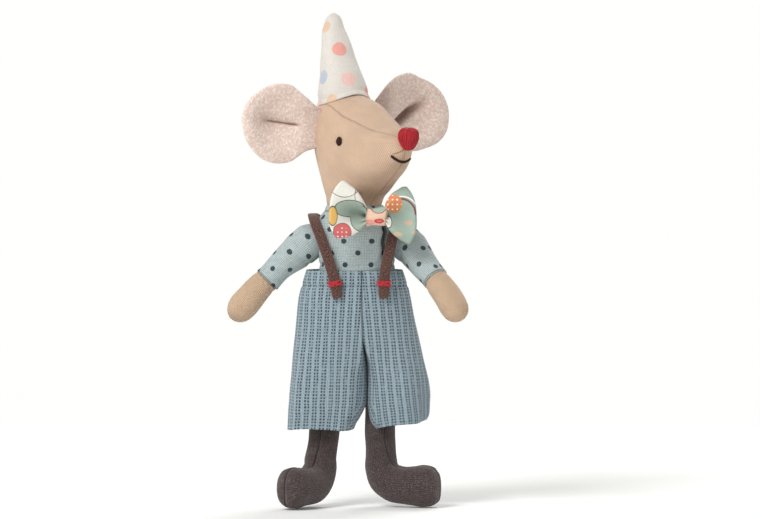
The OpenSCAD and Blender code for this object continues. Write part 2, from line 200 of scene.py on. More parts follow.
def build(name, patches, material):
    """One mesh object from grids of points, with its fabric coordinates in millimetres."""
    verts, faces, uvs, seams = [], [], [], []
    base = 0
    for p in patches:
        grid, uv = p["points"], p["uv"]
        rows, columns = grid.shape[:2]
        i, j = (x.ravel() for x in np.mgrid[0 : rows - 1, 0:columns])
        if p["keep"] is not None:
            kept = p["keep"][i, j]
            i, j = i[kept], j[kept]
        here, beside = i * columns + j, i * columns + (j + 1) % columns
        faces += (np.stack([here, beside, beside + columns, here + columns], 1) + base).tolist()
        corners = uv[i, j], uv[i, j + 1], uv[i + 1, j + 1], uv[i + 1, j]
        uvs.append(np.stack(corners, 1).reshape(-1, 2))
        verts.append(grid.reshape(-1, 3))
        seam = p["seam"] if p["seam"] is not None else np.full((rows, columns, 3), 99.0)
        seams.append(seam.reshape(-1, 3))
        size = rows * columns
        for row in [r for r, drawn_shut in zip((0, rows - 1), p["poles"]) if drawn_shut]:
            verts.append(grid[row].mean(0)[None])
            seams.append(seam[row].mean(0)[None])
            middle = uv[row].mean(0)
            for c in range(columns):
                ring = [base + row * columns + c, base + row * columns + (c + 1) % columns]
                corner = [uv[row, c], uv[row, c + 1]]
                if row == 0:
                    ring, corner = ring[::-1], corner[::-1]
                faces.append([*ring, base + size])
                uvs.append(np.array([*corner, middle]))
            size += 1
        base += size
    verts = in_frame(np.vstack(verts))
    mesh = bpy.data.meshes.new(name)
    mesh.from_pydata(verts.tolist(), [], faces)
    mesh.uv_layers.new(name="UVMap").data.foreach_set("uv", np.vstack(uvs).ravel())
    seam = mesh.attributes.new("seam", "FLOAT_VECTOR", "POINT")
    seam.data.foreach_set("vector", np.vstack(seams).ravel())
    shell = bmesh.new()
    shell.from_mesh(mesh)
    bmesh.ops.recalc_face_normals(shell, faces=shell.faces)
    shell.to_mesh(mesh)
    shell.free()
    mesh.polygons.foreach_set("use_smooth", [True] * len(mesh.polygons))
    mesh.materials.append(material)
    return place(name, mesh)


def thicken(obj, thickness):
    solid = obj.modifiers.new("cloth", "SOLIDIFY")
    solid.thickness = thickness * MM
    solid.offset = -1.0
    solid.use_quality_normals = True
    return obj


# ---------------------------------------------------------------- materials


def srgb(r, g, b):
    shares = r / 255, g / 255, b / 255
    return tuple(c / 12.92 if c <= 0.04045 else ((c + 0.055) / 1.055) ** 2.4 for c in shares)


def maths(operation):
    """A method that sends a signal and its other values through a maths node."""
    return lambda signal, *others: signal.do(operation, *others)


class Signal:
    """A number in a material, with arithmetic that builds the nodes."""

    __add__ = __radd__ = maths("ADD")
    __mul__ = __rmul__ = maths("MULTIPLY")
    __sub__, __truediv__ = maths("SUBTRACT"), maths("DIVIDE")
    max, min, sign = maths("MAXIMUM"), maths("MINIMUM"), maths("SIGN")
    abs, fract, floor, sin, root = map(maths, ("ABSOLUTE", "FRACT", "FLOOR", "SINE", "SQRT"))

    def __init__(self, fabric, socket):
        self.fabric, self.socket = fabric, socket

    def do(self, operation, *others):
        node = self.fabric.new("ShaderNodeMath")
        node.operation = operation
        for value, socket in zip((self, *others), node.inputs):
            self.fabric.put(value, socket)
        return Signal(self.fabric, node.outputs[0])

    def __rsub__(self, other):
        return self * -1.0 + other

    def ramp(self, low, high, start=0.0, end=1.0):
        """Smoothly from start at low to end at high."""
        node = self.fabric.new("ShaderNodeMapRange")
        node.interpolation_type = "SMOOTHSTEP"
        for value, socket in zip((self, low, high, start, end), node.inputs):
            self.fabric.put(value, socket)
        return Signal(self.fabric, node.outputs[0])

    def fall(self, low, high):
        return self.ramp(low, high, 1.0, 0.0)


class Fabric:
    """A material made from fabric coordinates in millimetres."""

    def __init__(self, name):
        self.material = bpy.data.materials.new(name)
        self.material.use_nodes = True
        self.tree = self.material.node_tree
        self.shader = self.tree.nodes["Principled BSDF"]
        node = self.new("ShaderNodeUVMap")
        node.uv_map = "UVMap"
        self.u, self.v, _ = self.split(node.outputs[0])

    def new(self, kind):
        return self.tree.nodes.new(kind)

    def put(self, value, socket):
        if isinstance(value, Signal):
            self.tree.links.new(value.socket, socket)
        elif isinstance(value, tuple):
            socket.default_value = (*value, 1.0) if len(value) == 3 else value
        else:
            socket.default_value = value

    def split(self, socket):
        node = self.new("ShaderNodeSeparateXYZ")
        self.tree.links.new(socket, node.inputs[0])
        return [Signal(self, s) for s in node.outputs]

    def seams(self):
        """Three numbers for each place: how far seams are, or how deep it lies in a fold or under the snout,
        for painted shade there.
        """
        node = self.new("ShaderNodeAttribute")
        node.attribute_name = "seam"
        return self.split(node.outputs["Vector"])

    def vector(self, x, y, z=0.0):
        node = self.new("ShaderNodeCombineXYZ")
        for value, socket in zip((x, y, z), node.inputs):
            self.put(value, socket)
        return node.outputs[0]

    def noise(self, x, y, scale, detail, rough=0.5, z=0.0):
        node = self.new("ShaderNodeTexNoise")
        self.tree.links.new(self.vector(x, y, z), node.inputs["Vector"])
        node.inputs["Scale"].default_value = scale
        node.inputs["Detail"].default_value = detail
        node.inputs["Roughness"].default_value = rough
        return Signal(self, node.outputs[0])

    def grain(self, scale, detail=2.0, rough=0.5, z=0.0):
        """Noise over the cloth."""
        return self.noise(self.u, self.v, scale, detail, rough, z)

    def drift(self, amount, scale, detail=2.0, z=0.0):
        """Noise over the cloth, as far below 0 as above it."""
        return (self.grain(scale, detail, z=z) - 0.5) * amount

    def cells(self, x, y, scale):
        node = self.new("ShaderNodeTexVoronoi")
        self.tree.links.new(self.vector(x, y), node.inputs["Vector"])
        node.inputs["Scale"].default_value = scale
        return Signal(self, node.outputs["Distance"])

    def random(self, x, y):
        node = self.new("ShaderNodeTexWhiteNoise")
        node.noise_dimensions = "2D"
        self.tree.links.new(self.vector(x, y), node.inputs["Vector"])
        return Signal(self, node.outputs["Value"])

    def mix(self, factor, a, b, blend="MIX"):
        node = self.new("ShaderNodeMix")
        node.data_type = "RGBA"
        node.blend_type = blend
        for value, socket in zip((factor, a, b), (node.inputs[0], node.inputs[6], node.inputs[7])):
            self.put(value, socket)
        return Signal(self, node.outputs[2])

    def shade(self, colour, factor):
        """colour times a grey factor."""
        grey = self.new("ShaderNodeCombineColor")
        for socket in grey.inputs:
            self.put(factor, socket)
        return self.mix(1.0, colour, Signal(self, grey.outputs[0]), "MULTIPLY")

    def weave(self, pitch, slub):
        """Height of a plain weave from 0 to 1, and its thread-by-thread unevenness."""
        u, v = self.u / pitch + self.drift(0.8, 0.35, 1.0), self.v / pitch + self.drift(0.8, 0.35, 1.0, z=7.0)
        su, sv = (u * math.pi).sin(), (v * math.pi).sin()
        over = su * sv
        height = (su.abs() * (over * 0.4 + 0.6)).max(sv.abs() * (0.6 - over * 0.4))
        streaks = self.noise(self.u * 0.35, self.v * 3.2, 1.0, 2.0)
        streaks = streaks + self.noise(self.u * 3.2, self.v * 0.35, 1.0, 2.0, z=3.0)
        return height, (streaks - 1.0) * slub

    def finish(self, colour, height, depth, roughness=0.9, sheen=0.25, tint=(1, 1, 1), fibre=0.0):
        """depth is how many millimetres a height of 1 stands out."""
        for value, socket in (
            (colour, "Base Color"), (roughness, "Roughness"), (0.25, "Specular IOR Level"),
            (sheen, "Sheen Weight"), (0.5, "Sheen Roughness"), (tint, "Sheen Tint"),
        ):
            self.put(value, self.shader.inputs[socket])
        if fibre:
            height = height + self.grain(7.0, 3.0, 0.7) * fibre
        bump = self.new("ShaderNodeBump")
        bump.inputs["Strength"].default_value = 1.0
        bump.inputs["Distance"].default_value = depth * MM
        self.put(height, bump.inputs["Height"])
        self.tree.links.new(bump.outputs[0], self.shader.inputs["Normal"])
        return self.material


def distance(x, y, at):
    dx, dy = x - at[0], y - at[1]
    return (dx * dx + dy * dy).root()


def groove(seam, width=0.4):
    """1 in the middle of a sewn seam and 0 beside it."""
    return seam.abs().fall(0.06, width)


def stitches(along, seam, pitch):
    """1 on short straight stitches along a seam."""
    gap = ((along / pitch).fract() - 0.5).abs().fall(0.28, 0.36)
    return seam.abs().fall(0.12, 0.2) * gap


def ribs(x, y, lean):
    """Knitted ribs along y, with small loops slanting across them: both from 0 to 1."""
    rib = (x * math.pi).sin().abs()
    loop = ((y + (x.fract() - 0.5).abs() * lean) * math.pi).sin().abs()
    return rib, loop


def jersey(name, light, dark, relief=0.10):
    """Fine knit, with seams whose cloth gathers beside them."""
    pitch = 0.62
    g = Fabric(name)
    wobble = g.drift(0.7, 0.25)
    rib, loop = ribs(g.u / pitch + wobble, g.v / (pitch * 0.8), 1.1)
    mid, side, extra = g.seams()
    line = groove(mid).max(groove(side)).max(groove(extra))
    pucker = mid.abs().min(side.abs()).min(extra.abs()).fall(0.2, 2.2)
    gathers = (g.grain(1.1, 1.0, z=4.0) - 0.5) * pucker
    height = rib + loop * 0.6 + g.grain(0.5, 3.0) * 0.8 + gathers * 3.0 - line * 1.8
    blotch = g.grain(0.12, 3.0, z=9.0).ramp(0.35, 0.68)
    speckle = g.grain(1.7, 2.0, 0.7, z=1.5)
    colour = g.mix((rib * 0.5 + loop * 0.35 + speckle * 0.3).ramp(0.15, 1.0), dark, light)
    colour = g.shade(colour, blotch * 0.09 + 0.93)
    sewn = stitches(g.v, mid, 1.3).max(stitches(g.v, side, 1.3)).max(stitches(g.u, extra, 1.1))
    colour = g.shade(colour, line * -0.16 + sewn * -0.16 + 1.0)
    # Past the far value, the third seam number says how far the cloth faces down, away from the light; there
    # the colour is mixed towards a brown as painted shade.
    colour = g.mix((extra - FAR).max(0.0).min(2.0) * 0.32, colour, srgb(120, 84, 56))
    return g.finish(colour, height, relief, roughness=0.92, sheen=0.18, tint=(1.0, 0.93, 0.86), fibre=0.5)


def towelling():
    """Looped pile: small curly tufts of uneven brightness, with painted shade in brown where the ear folds in.
    """
    g = Fabric("ear_towelling")
    wander = g.drift(1.1, 0.9)
    x, y = g.u + wander, g.v - wander
    tuft = g.cells(x, y, 1.05).fall(0.0, 0.8)
    curl = g.cells(x + 3.7, y, 2.3).fall(0.0, 0.75)
    fuzz = g.grain(2.6, 3.0, 0.7)
    pile = tuft * 0.55 + curl * 0.3 + fuzz * 0.45
    mottle = g.grain(0.45, 3.0, z=2.0).ramp(0.34, 0.7)
    colour = g.mix(pile.ramp(0.2, 1.1), srgb(219, 194, 181), srgb(253, 243, 236))
    colour = g.mix(mottle * 0.35, colour, srgb(236, 214, 204))
    fold, deep, _ = g.seams()
    # Painted shade: browner along the fold line and wherever the ear's deep number is high.
    colour = g.mix((fold.abs().ramp(0.0, 0.5, 0.3, 0.0) + deep).min(0.85), colour, srgb(112, 80, 68))
    return g.finish(colour, pile, 0.2, roughness=1.0, sheen=0.35, tint=(1.0, 0.92, 0.88), fibre=0.25)


def hat_cotton(dots):
    """Plain weave printed with large dots: (place, radius, dye)."""
    g = Fabric("hat_cotton")
    height, slub = g.weave(0.42, 0.3)
    colour = g.mix(height.ramp(0.3, 1.0), srgb(205, 198, 189), srgb(240, 235, 227))
    colour = g.mix(g.grain(0.22, 3.0).ramp(0.4, 0.75) * 0.35, colour, srgb(218, 213, 208))
    edge = g.drift(0.35, 2.6)
    for (x, y), radius, dye in dots:
        spot = (distance(g.u, g.v, (x, y)) + edge).fall(radius - 0.12, radius + 0.12)
        colour = g.mix(spot * (height * 0.3 + 0.66), colour, dye)
    seam, hem, _ = g.seams()
    line = groove(seam)
    colour = g.shade(colour, line * -0.3 + groove(hem, 0.5) * -0.05 + 1.0)
    colour = g.shade(colour, slub * 0.7 + 1.0)
    return g.finish(colour, height + slub - line * 2.0, 0.16, sheen=0.1, fibre=0.35)


def shirt_cotton(name, phase):
    """Slubby plain weave with small round printed dots on a diamond lattice, one of them at phase."""
    spread = (4.7, 4.25)
    g = Fabric(name)
    height, slub = g.weave(0.56, 0.55)
    x, y = (g.u - phase[0]) / spread[0], (g.v - phase[1]) / spread[1]
    a, b = (x + y) * 0.5, (x - y) * 0.5
    da, db = a - (a + 0.5).floor(), b - (b + 0.5).floor()
    dx, dy = (da + db) * spread[0], (da - db) * spread[1]
    edge = g.drift(0.3, 2.4)
    dot = ((dx * dx + dy * dy).root() + edge).fall(0.82, 1.06)
    colour = g.mix(height.ramp(0.25, 1.0), srgb(134, 149, 151), srgb(199, 208, 206))
    colour = g.mix(g.grain(0.3, 3.0).ramp(0.35, 0.7) * 0.35, colour, srgb(160, 176, 178))
    colour = g.mix(dot * (height * 0.2 + 0.8), colour, srgb(24, 48, 54))
    seam, hem, fold = g.seams()
    line = groove(seam).max(groove(hem, 0.35))
    # The third seam number adds painted shade in the deep fold beside the doll's left brace.
    colour = g.shade(g.shade(colour, slub + 1.0), line * -0.45 + fold.ramp(0.0, 8.0, -0.8, 0.0) + 1.0)
    return g.finish(colour, height + slub - line * 2.5, 0.11, sheen=0.12, fibre=0.25)


# Millimetres from one stripe of the shorts to the next
STRIPE = 2.72


def shorts_cotton():
    """Woven stripe: pairs of dark dotted threads in a pale blue ground."""
    g = Fabric("shorts_cotton")
    height, slub = g.weave(0.45, 0.45)
    drift = g.drift(0.5, 0.25)
    stripe = ((g.u + drift) / STRIPE).fract() - 0.5
    row = g.v / 1.12 + g.drift(0.6, 0.5, z=5.0)
    dash = (row.fract() - 0.5).abs().fall(0.24, 0.36)
    patchy = g.grain(0.9, 2.0, z=8.0).ramp(0.25, 0.55)
    column = (stripe.abs() - 0.185).abs().fall(0.065, 0.12)
    band = stripe.abs().fall(0.26, 0.36)
    colour = g.mix(height.ramp(0.2, 1.0), srgb(112, 132, 144), srgb(175, 191, 198))
    colour = g.mix(band * 0.3, colour, srgb(104, 124, 136))
    colour = g.mix(column * (1.0 - dash) * 0.2, colour, srgb(188, 201, 206))
    colour = g.mix(column * dash * (patchy * 0.3 + 0.6), colour, srgb(14, 24, 34))
    fleck = g.random((g.u / STRIPE).floor() * 3.0 + stripe.sign(), (g.v / 2.24).floor())
    colour = g.mix(column * fleck.ramp(0.8, 0.95) * 0.25, colour, srgb(176, 189, 196))
    seam, hem, waist = g.seams()
    line = groove(seam, 0.5)
    soft = groove(hem, 0.5).max(groove(waist, 0.5))
    colour = g.shade(g.shade(colour, slub * 0.8 + 1.0), line * -0.35 + soft * -0.13 + 1.0)
    height = height + column * dash * 0.9 + slub - (line + soft * 0.4) * 2.5
    return g.finish(colour, height, 0.12, sheen=0.1, fibre=0.2)


def felt():
    """Matted fibres in two browns."""
    g = Fabric("brace_felt")
    fibres = g.noise(g.u * 1.6, g.v, 2.1, 4.0, 0.8)
    clump = g.grain(0.9, 3.0, z=3.0)
    colour = g.mix(fibres.ramp(0.36, 0.64), srgb(30, 15, 12), srgb(120, 86, 77))
    colour = g.mix(clump.ramp(0.5, 0.75) * 0.4, colour, srgb(92, 58, 52))
    height = fibres + clump * 0.6
    return g.finish(colour, height, 0.3, roughness=1.0, sheen=0.4, tint=(0.9, 0.8, 0.75), fibre=0.4)


def boot_knit():
    """Coarse flecked knit."""
    g = Fabric("boot_knit")
    u = g.u / 0.62 + g.drift(0.9, 0.3)
    v = g.v / 0.5 + g.drift(0.9, 0.3, z=6.0)
    rib, loop = ribs(u, v, 1.2)
    fleck = g.grain(2.6, 3.0, 0.75, z=2.0)
    blotch = g.grain(0.35, 3.0, z=4.0).ramp(0.3, 0.7)
    knit = rib * 0.6 + loop * 0.4
    colour = g.mix((knit * 0.45 + fleck * 0.75).ramp(0.3, 1.0), srgb(34, 26, 26), srgb(92, 79, 79))
    colour = g.mix(fleck.ramp(0.52, 0.7) * 0.7, colour, srgb(140, 121, 120))
    # Darker where the shorts shade the leg.
    colour = g.shade(colour, blotch * 0.2 + g.v.ramp(9.0, 30.0, 0.66, 0.88))
    seam, _, _ = g.seams()
    line = groove(seam, 0.55)
    colour = g.shade(colour, line * -0.55 + 1.0)
    height = knit * 0.6 + fleck * 1.3 - line * 3.0
    return g.finish(colour, height, 0.17, roughness=0.98, sheen=0.25, tint=(0.9, 0.85, 0.84), fibre=0.4)


def thread(name, light, dark, twist=0.55, gloss=0.55, depth=0.12):
    """Twisted thread: slanting plies along the rod."""
    g = Fabric(name)
    ply = ((g.u / 0.5 + g.v / twist) * math.pi).sin().abs()
    fuzz = g.grain(3.0, 3.0)
    colour = g.mix((ply * 0.7 + fuzz * 0.5).ramp(0.2, 0.95), dark, light)
    return g.finish(colour, ply + fuzz * 0.4, depth, roughness=gloss, sheen=0.0)


def wadding():
    """Loose fibre, placed by the node's own coordinates because CAD nodes have no fabric coordinates."""
    g = Fabric("wadding")
    x, y, z = g.split(g.new("ShaderNodeTexCoord").outputs["Object"])
    fluff = g.noise(x / MM, y / MM, 0.8, 4.0, 0.7, z=z / MM)
    colour = g.mix(fluff.ramp(0.3, 0.7), srgb(232, 228, 218), srgb(250, 248, 242))
    return g.finish(colour, fluff, 0.5, roughness=1.0)


def bow_print(name, ground, marks):
    """Plain weave printed with marks: (kind, middle, sizes, dye).

    The sizes are two radii, then a ring's line width, or the pitch and radius of the dots inside."""
    g = Fabric(name)
    height, slub = g.weave(0.42, 0.3)
    edge = g.drift(0.5, 0.8, 3.0)
    x, y = g.u + edge, g.v - edge
    colour = g.mix(height.ramp(0.2, 1.0), tuple(c * 0.9 for c in ground), ground)
    for kind, at, size, dye in marks:
        reach = distance(x / size[0], y / size[1], (at[0] / size[0], at[1] / size[1]))
        if kind == "blob":
            ink = reach.fall(0.94, 1.04)
        elif kind == "ring":
            ink = ((reach - 1.0).abs() * min(size[:2])).fall(size[2] * 0.6, size[2])
        else:
            pitch, radius = size[2], size[3] / size[2]
            dot = distance((x / pitch).fract(), (y / pitch).fract(), (0.5, 0.5))
            ink = dot.fall(radius * 0.8, radius) * reach.fall(0.9, 1.0)
        colour = g.mix(ink * 0.93, colour, dye)
    seam, _, _ = g.seams()
    # Painted shade where the first seam number says the cloth lies deep in a fold or tucks in under the wings;
    # the slubs are the weave's own.
    colour = g.shade(g.shade(colour, slub * 0.4 + 1.0), seam.min(1.0) * -0.5 + 1.0)
    return g.finish(colour, height + slub, 0.09, sheen=0.1, fibre=0.2)


# ---------------------------------------------------------------- head

NECK = PIVOT["head_turn"]
YAW = math.radians(34)
SNOUT = np.array([math.sin(YAW), -math.cos(YAW), 0])
CHEEK = np.array([math.cos(YAW), math.sin(YAW), 0])
UP = np.array([0.0, 0.0, 1.0])
# Head slices: height, middle, back, front, half width
HEAD = [
    [102.4, 0, 4.2, 4.2, 4.2], [103.4, 0, 6.1, 6.1, 6.1], [105, 0, 7.9, 7.9, 7.9], [107, 0, 9.2, 9.2, 9.2],
    [109.5, 0, 10.2, 10.4, 10.2], [112, 0, 10.5, 12.6, 10.5], [114.4, 0, 11.6, 17.2, 11],
    [118.8, -0.3, 13, 24, 11.9], [122, -0.5, 13.8, 28.4, 12.6], [125.3, -0.7, 14.4, 31.5, 13.2],
    [129, -1, 15, 33.4, 13.7], [132.6, -1.2, 15.3, 33.8, 13.9], [134.6, -1.5, 15.3, 31.2, 13.8],
    [136.6, -1.9, 15.2, 27.4, 13.5], [138.8, -2.7, 14.8, 24.6, 12.9], [141.9, -4, 13.4, 21.3, 11.5],
    [145.1, -5, 11.2, 17, 9.7], [148, -5.5, 7.2, 9.6, 6.2], [149.6, -6, 3.6, 4.4, 3.1],
    [150.1, -6, 1.4, 1.6, 1.3],
]
# Half width of the crown gusset from the back of the head to the nose: [along the snout, half width]
GUSSET = [[-16.7, 0], [-15.4, 3.2], [-12, 7], [-6, 9.4], [5, 9.8], [14, 8.6], [23, 6.2], [29, 3.2], [34, 0.6]]
# How far the jersey's ribs lean on the head
GRAIN = math.radians(36)
# Each eye: out to its side, and up
EYE_OUT, EYE_UP = 12.8, 132.1


def from_head(f, s, z):
    """A point along the snout f, out to the doll's left s, at height z."""
    f, s, z = np.broadcast_arrays(f, s, z)
    return NECK * [1, 1, 0] + f[..., None] * SNOUT + s[..., None] * CHEEK + z[..., None] * UP


def head_at(angle, z):
    """(f, s) on the head's surface at an angle round it, 0 at the snout."""
    z = np.atleast_1d(np.asarray(z, float))
    middle, back, front, half = table(HEAD, z.ravel()).T.reshape(4, *z.shape)
    c = np.cos(angle)
    f = middle + np.where(c > 0, front * np.abs(c) ** (4 / 3), back * c)
    return f, half * np.sin(angle)


def on_head(s, z, lift=0.0):
    """The point on the snout side of the head at that s and height, lifted off the cloth."""
    s, z = np.broadcast_arrays(np.atleast_1d(np.asarray(s, float)), np.atleast_1d(np.asarray(z, float)))
    half = table(HEAD, z)[:, 3]
    angle = np.arcsin(np.clip(s / half, -1, 1))
    f, s2 = head_at(angle, z)
    step = 0.02
    fa, sa = head_at(angle + step, z)
    fb, sb = head_at(angle, z + step * 10)
    here, a, b = from_head(f, s2, z), from_head(fa, sa, z), from_head(fb, sb, z + step * 10)
    normal = np.cross(a - here, b - here)
    normal /= np.linalg.norm(normal, axis=1)[:, None]
    return here + normal * lift, normal


def make_head(material):
    columns = 208
    z = np.concatenate([np.linspace(102.4, 112, 26, endpoint=False), np.linspace(112, 149.2, 150)])
    z = np.concatenate([z, [149.6, 149.9, 150.1]])
    turn = circle(columns) + math.pi
    zz, tt = np.meshgrid(z, turn, indexing="ij")
    f, s = head_at(tt, zz)
    points = from_head(f, s, zz)
    # Distances over the cloth from the widest part of each side and from the height of the eyes.
    around = lengths(wrapped(points), 1)
    first_side = np.arange(columns + 1) < columns / 2
    right, left = columns // 4, columns * 3 // 4
    at_side = np.where(first_side, around[:, right : right + 1], around[:, left : left + 1])
    u = (around - at_side) * np.where(first_side, 1.0, -1.0)
    up = lengths(wrapped(points), 0)
    level = int(np.argmin(np.abs(z - 132)))
    v = up - up[level][None]
    uv = stack(u * math.cos(GRAIN) - v * math.sin(GRAIN), u * math.sin(GRAIN) + v * math.cos(GRAIN))
    gusset = table(GUSSET, f.ravel()).reshape(f.shape)
    mid = np.where(((f > 2) & (zz < 131.5)) | ((f < -4) & (zz < 134)), s, FAR)
    rim = np.where(zz > 131.8, (np.abs(s) - gusset) * (1 + np.clip(f - 12, 0, 30) / 7), FAR)
    # How far the cloth faces down under the snout, most of all near the neck, for the painted shade that the
    # jersey adds there.
    facing = np.cross(np.gradient(points, axis=1), np.gradient(points, axis=0))
    facing /= np.linalg.norm(facing, axis=-1)[..., None] + 1e-9
    outwards = np.sign((facing * (points - points.mean(1, keepdims=True))).sum(-1))
    under = smooth(-facing[..., 2] * outwards, 0.25, 0.75)
    shadow = under * smooth(f, 4, 16) * (1 + smooth(-zz, -122, -108))
    seam = stack(mid, rim, FAR + shadow)
    # The stuffing swells between the seams, which pull in a little, and each eye is drawn in by its thread.
    normal = points - from_head(np.clip(f, -4, 16), 0 * s, zz * 0 + 130)
    normal /= np.linalg.norm(normal, axis=-1)[..., None]
    push = -0.28 * near(mid, 0.9) - 0.22 * near(rim, 0.9)
    for sign in (-1, 1):
        eye, _ = on_head([sign * EYE_OUT], [EYE_UP])
        push = push - 0.75 * near(np.linalg.norm(points - eye[0], axis=-1), 2.3)
    push = push + 0.22 * ripple(points, 7, 11) * smooth(zz, 108, 114)
    points = points + push[..., None] * normal
    return build("head_skin", [patch(points, uv, seam=seam)], material)


def nose_width(height):
    """Broad and flat at the top of the nose, narrower at its foot."""
    return (1 - np.abs(height) ** 4.0) ** (1 / 2.2) * (1 + np.where(height > 0, 0.05, 0.42) * height)


def make_nose(material):
    columns = 120
    middle_f, middle_z, half_f, half_s = 34.0, 133.0, 3.2, 3.75
    tt, pp = np.meshgrid(np.linspace(0.12, math.pi - 0.12, 44), circle(columns), indexing="ij")
    height = np.cos(tt)
    wide = nose_width(height)
    strand = np.abs(np.sin(pp * 15 + 0.5 * np.sin(tt * 3 + pp)))
    swell = 1 + 0.035 * (strand - 0.5) * np.sin(tt) + 0.02 * np.sin(pp * 4 + tt * 2)
    s = half_s * wide * np.sin(pp) * swell
    f = half_f * wide * np.cos(pp) * swell
    z = 4.05 * height + 0.25 * np.cos(pp * 7) * near(height - 1, 0.4)
    points = from_head(middle_f + f, s, middle_z + z)
    uv = stack(np.linspace(0, 24, columns + 1)[None], 4 * tt[:, :1])
    strands = []
    rng = np.random.default_rng(5)
    for a in np.linspace(-1.55, 1.55, 17):
        t = np.linspace(0.28 + 0.1 * rng.random(), math.pi - 0.3 - 0.12 * rng.random(), 22)
        lean = a + 0.07 * rng.normal() * np.cos(t)
        w = nose_width(np.cos(t)) * 1.015
        f, s = half_f * w * np.cos(lean), half_s * w * np.sin(lean)
        path = from_head(middle_f + f, s, middle_z + 4.08 * np.cos(t))
        strands.append(rod(path, 0.24, up=CHEEK, columns=8))
    return build("nose_thread", [patch(points, uv), *strands], material)


def make_eye(side, material):
    at, normal = on_head([side * EYE_OUT], [EYE_UP])
    at, normal = at[0] - normal[0] * 0.55, normal[0]
    across = np.cross(UP, normal)
    across /= np.linalg.norm(across)
    rise = np.cross(normal, across)
    strands = []
    for x in np.linspace(-1.05, 1.05, 8):
        tall = 1.66 * math.sqrt(1 - (x / 1.35) ** 2)
        t = np.linspace(-1, 1, 13)
        lift = 0.62 * (1 - 0.75 * t**2) * (1 - 0.35 * (x / 1.1) ** 2)
        path = at + (x + 0.1 * t)[:, None] * across + (tall * t)[:, None] * rise + lift[:, None] * normal
        strands.append(rod(path, 0.24, up=normal, columns=8))
    return build(f"{NAMES[side]}_eye_thread", strands, material)


def make_mouth(material):
    s = np.linspace(-4.4, 4.0, 40)
    rise = np.where(s < 0, 2.3, 1.6)
    smile, _ = on_head(s, 124.9 + rise * np.abs(s / 4.4) ** 1.8, lift=0.1)
    return build("mouth_thread", [rod(smile, 0.5)], material)


def make_whisker_lines(material):
    """The thin threads that run from under the nose to each end of the mouth."""
    lines = []
    for side in (-1, 1):
        s = np.linspace(0.25, 4.0, 14) * side
        path, _ = on_head(s, np.linspace(129.3, 127.7, 14), lift=0.02)
        lines.append(rod(path, 0.1, columns=6))
    return build("nose_lines_thread", lines, material)


# ---------------------------------------------------------------- hat

HAT_AT = np.array([-7.5, 0, 147.4])
HAT_LEAN = math.radians(15)
# Height along the hat and its radius there
HAT = [
    [-8, 10.4], [0, 9.3], [8, 7.95], [16, 6.35], [24, 4.45], [28, 3.4], [29.6, 2.9], [30.8, 2.2],
    [31.6, 1.35], [32, 0.5],
]
HAT_H = HAT[-1][0]
# The plain cone that the printed cloth was cut for
CONE_R, CONE_TAPER = 9.75, 0.215


def hat_point(turn, h, radius):
    """A point round the hat's own axis, as (f, s, z) in the head's directions."""
    a, b = radius * np.cos(turn), radius * np.sin(turn)
    c, s = math.cos(HAT_LEAN), math.sin(HAT_LEAN)
    return HAT_AT[0] + a * c - h * s, HAT_AT[1] + b, HAT_AT[2] + a * s + h * c


def inside_head(f, s, z):
    middle, back, front, half = table(HEAD, np.clip(z, 103, 150)).T
    ok = (np.abs(s) < half) & (z < 150)
    c = np.sqrt(np.clip(1 - (s / half) ** 2, 0, 1))
    return ok & (f < middle + front * c ** (4 / 3)) & (f > middle - back * c)


def hat_radius(h):
    heights, radii = np.transpose(HAT)
    return np.interp(h, heights, radii)


def hat_flat(turn, h):
    """The same place on the hat's cloth when it is laid flat."""
    slope = math.atan(CONE_TAPER)
    slant = (CONE_R / CONE_TAPER - h) / math.cos(slope)
    turn = (turn + math.pi) % (2 * math.pi) - math.pi
    return slant * np.sin(turn * math.sin(slope)), -slant * np.cos(turn * math.sin(slope))


def make_hat(material):
    turn = np.linspace(-math.pi, math.pi, 97)
    foot = []
    for t in turn:
        h = np.linspace(-9, 8, 400)
        hit = inside_head(*hat_point(t, h, hat_radius(h)))
        foot.append(h[hit].max() + 0.25 if hit.any() else -6.0)
    foot = np.array(foot)
    foot[-1] = foot[0]
    share = np.concatenate([np.linspace(0, 0.88, 70), np.linspace(0.89, 0.998, 20)])
    h = foot[None, :-1] + share[:, None] * (HAT_H - foot[None, :-1])
    tt = np.broadcast_to(turn[None, :-1], h.shape)
    radius = hat_radius(h)
    radius = radius + 0.28 * np.sin(tt * 2 + h * 0.22) * smooth(h, 0, 8) * smooth(-h, -31, -24)
    radius = radius + 0.25 * near(h - foot[None, :-1] - 0.3, 0.8) - 0.3 * near(h - foot[None, :-1] - 2.4, 1.0)
    # The very tip is pushed over towards the front, as a narrow turned-out point.
    f, s, z = hat_point(tt, h, radius)
    nib = smooth(h, 25, 32)
    points = from_head(f + 0.9 * nib, s + 0.4 * nib, z)
    out = (points - points.mean(1, keepdims=True)) / radius[..., None]
    points = points + 0.3 * ripple(points, 5, 21)[..., None] * out
    full = np.concatenate([h, h[:, :1]], 1)
    x, y = hat_flat(np.minimum(turn, math.pi - 1e-6)[None], full)
    back = (math.pi - np.abs(tt)) * radius
    seam = stack(back, h - foot[None, :-1] - 2.2, FAR)
    return thicken(build("hat_cloth", [patch(points, stack(x, y), (False, True), seam)], material), 0.5)


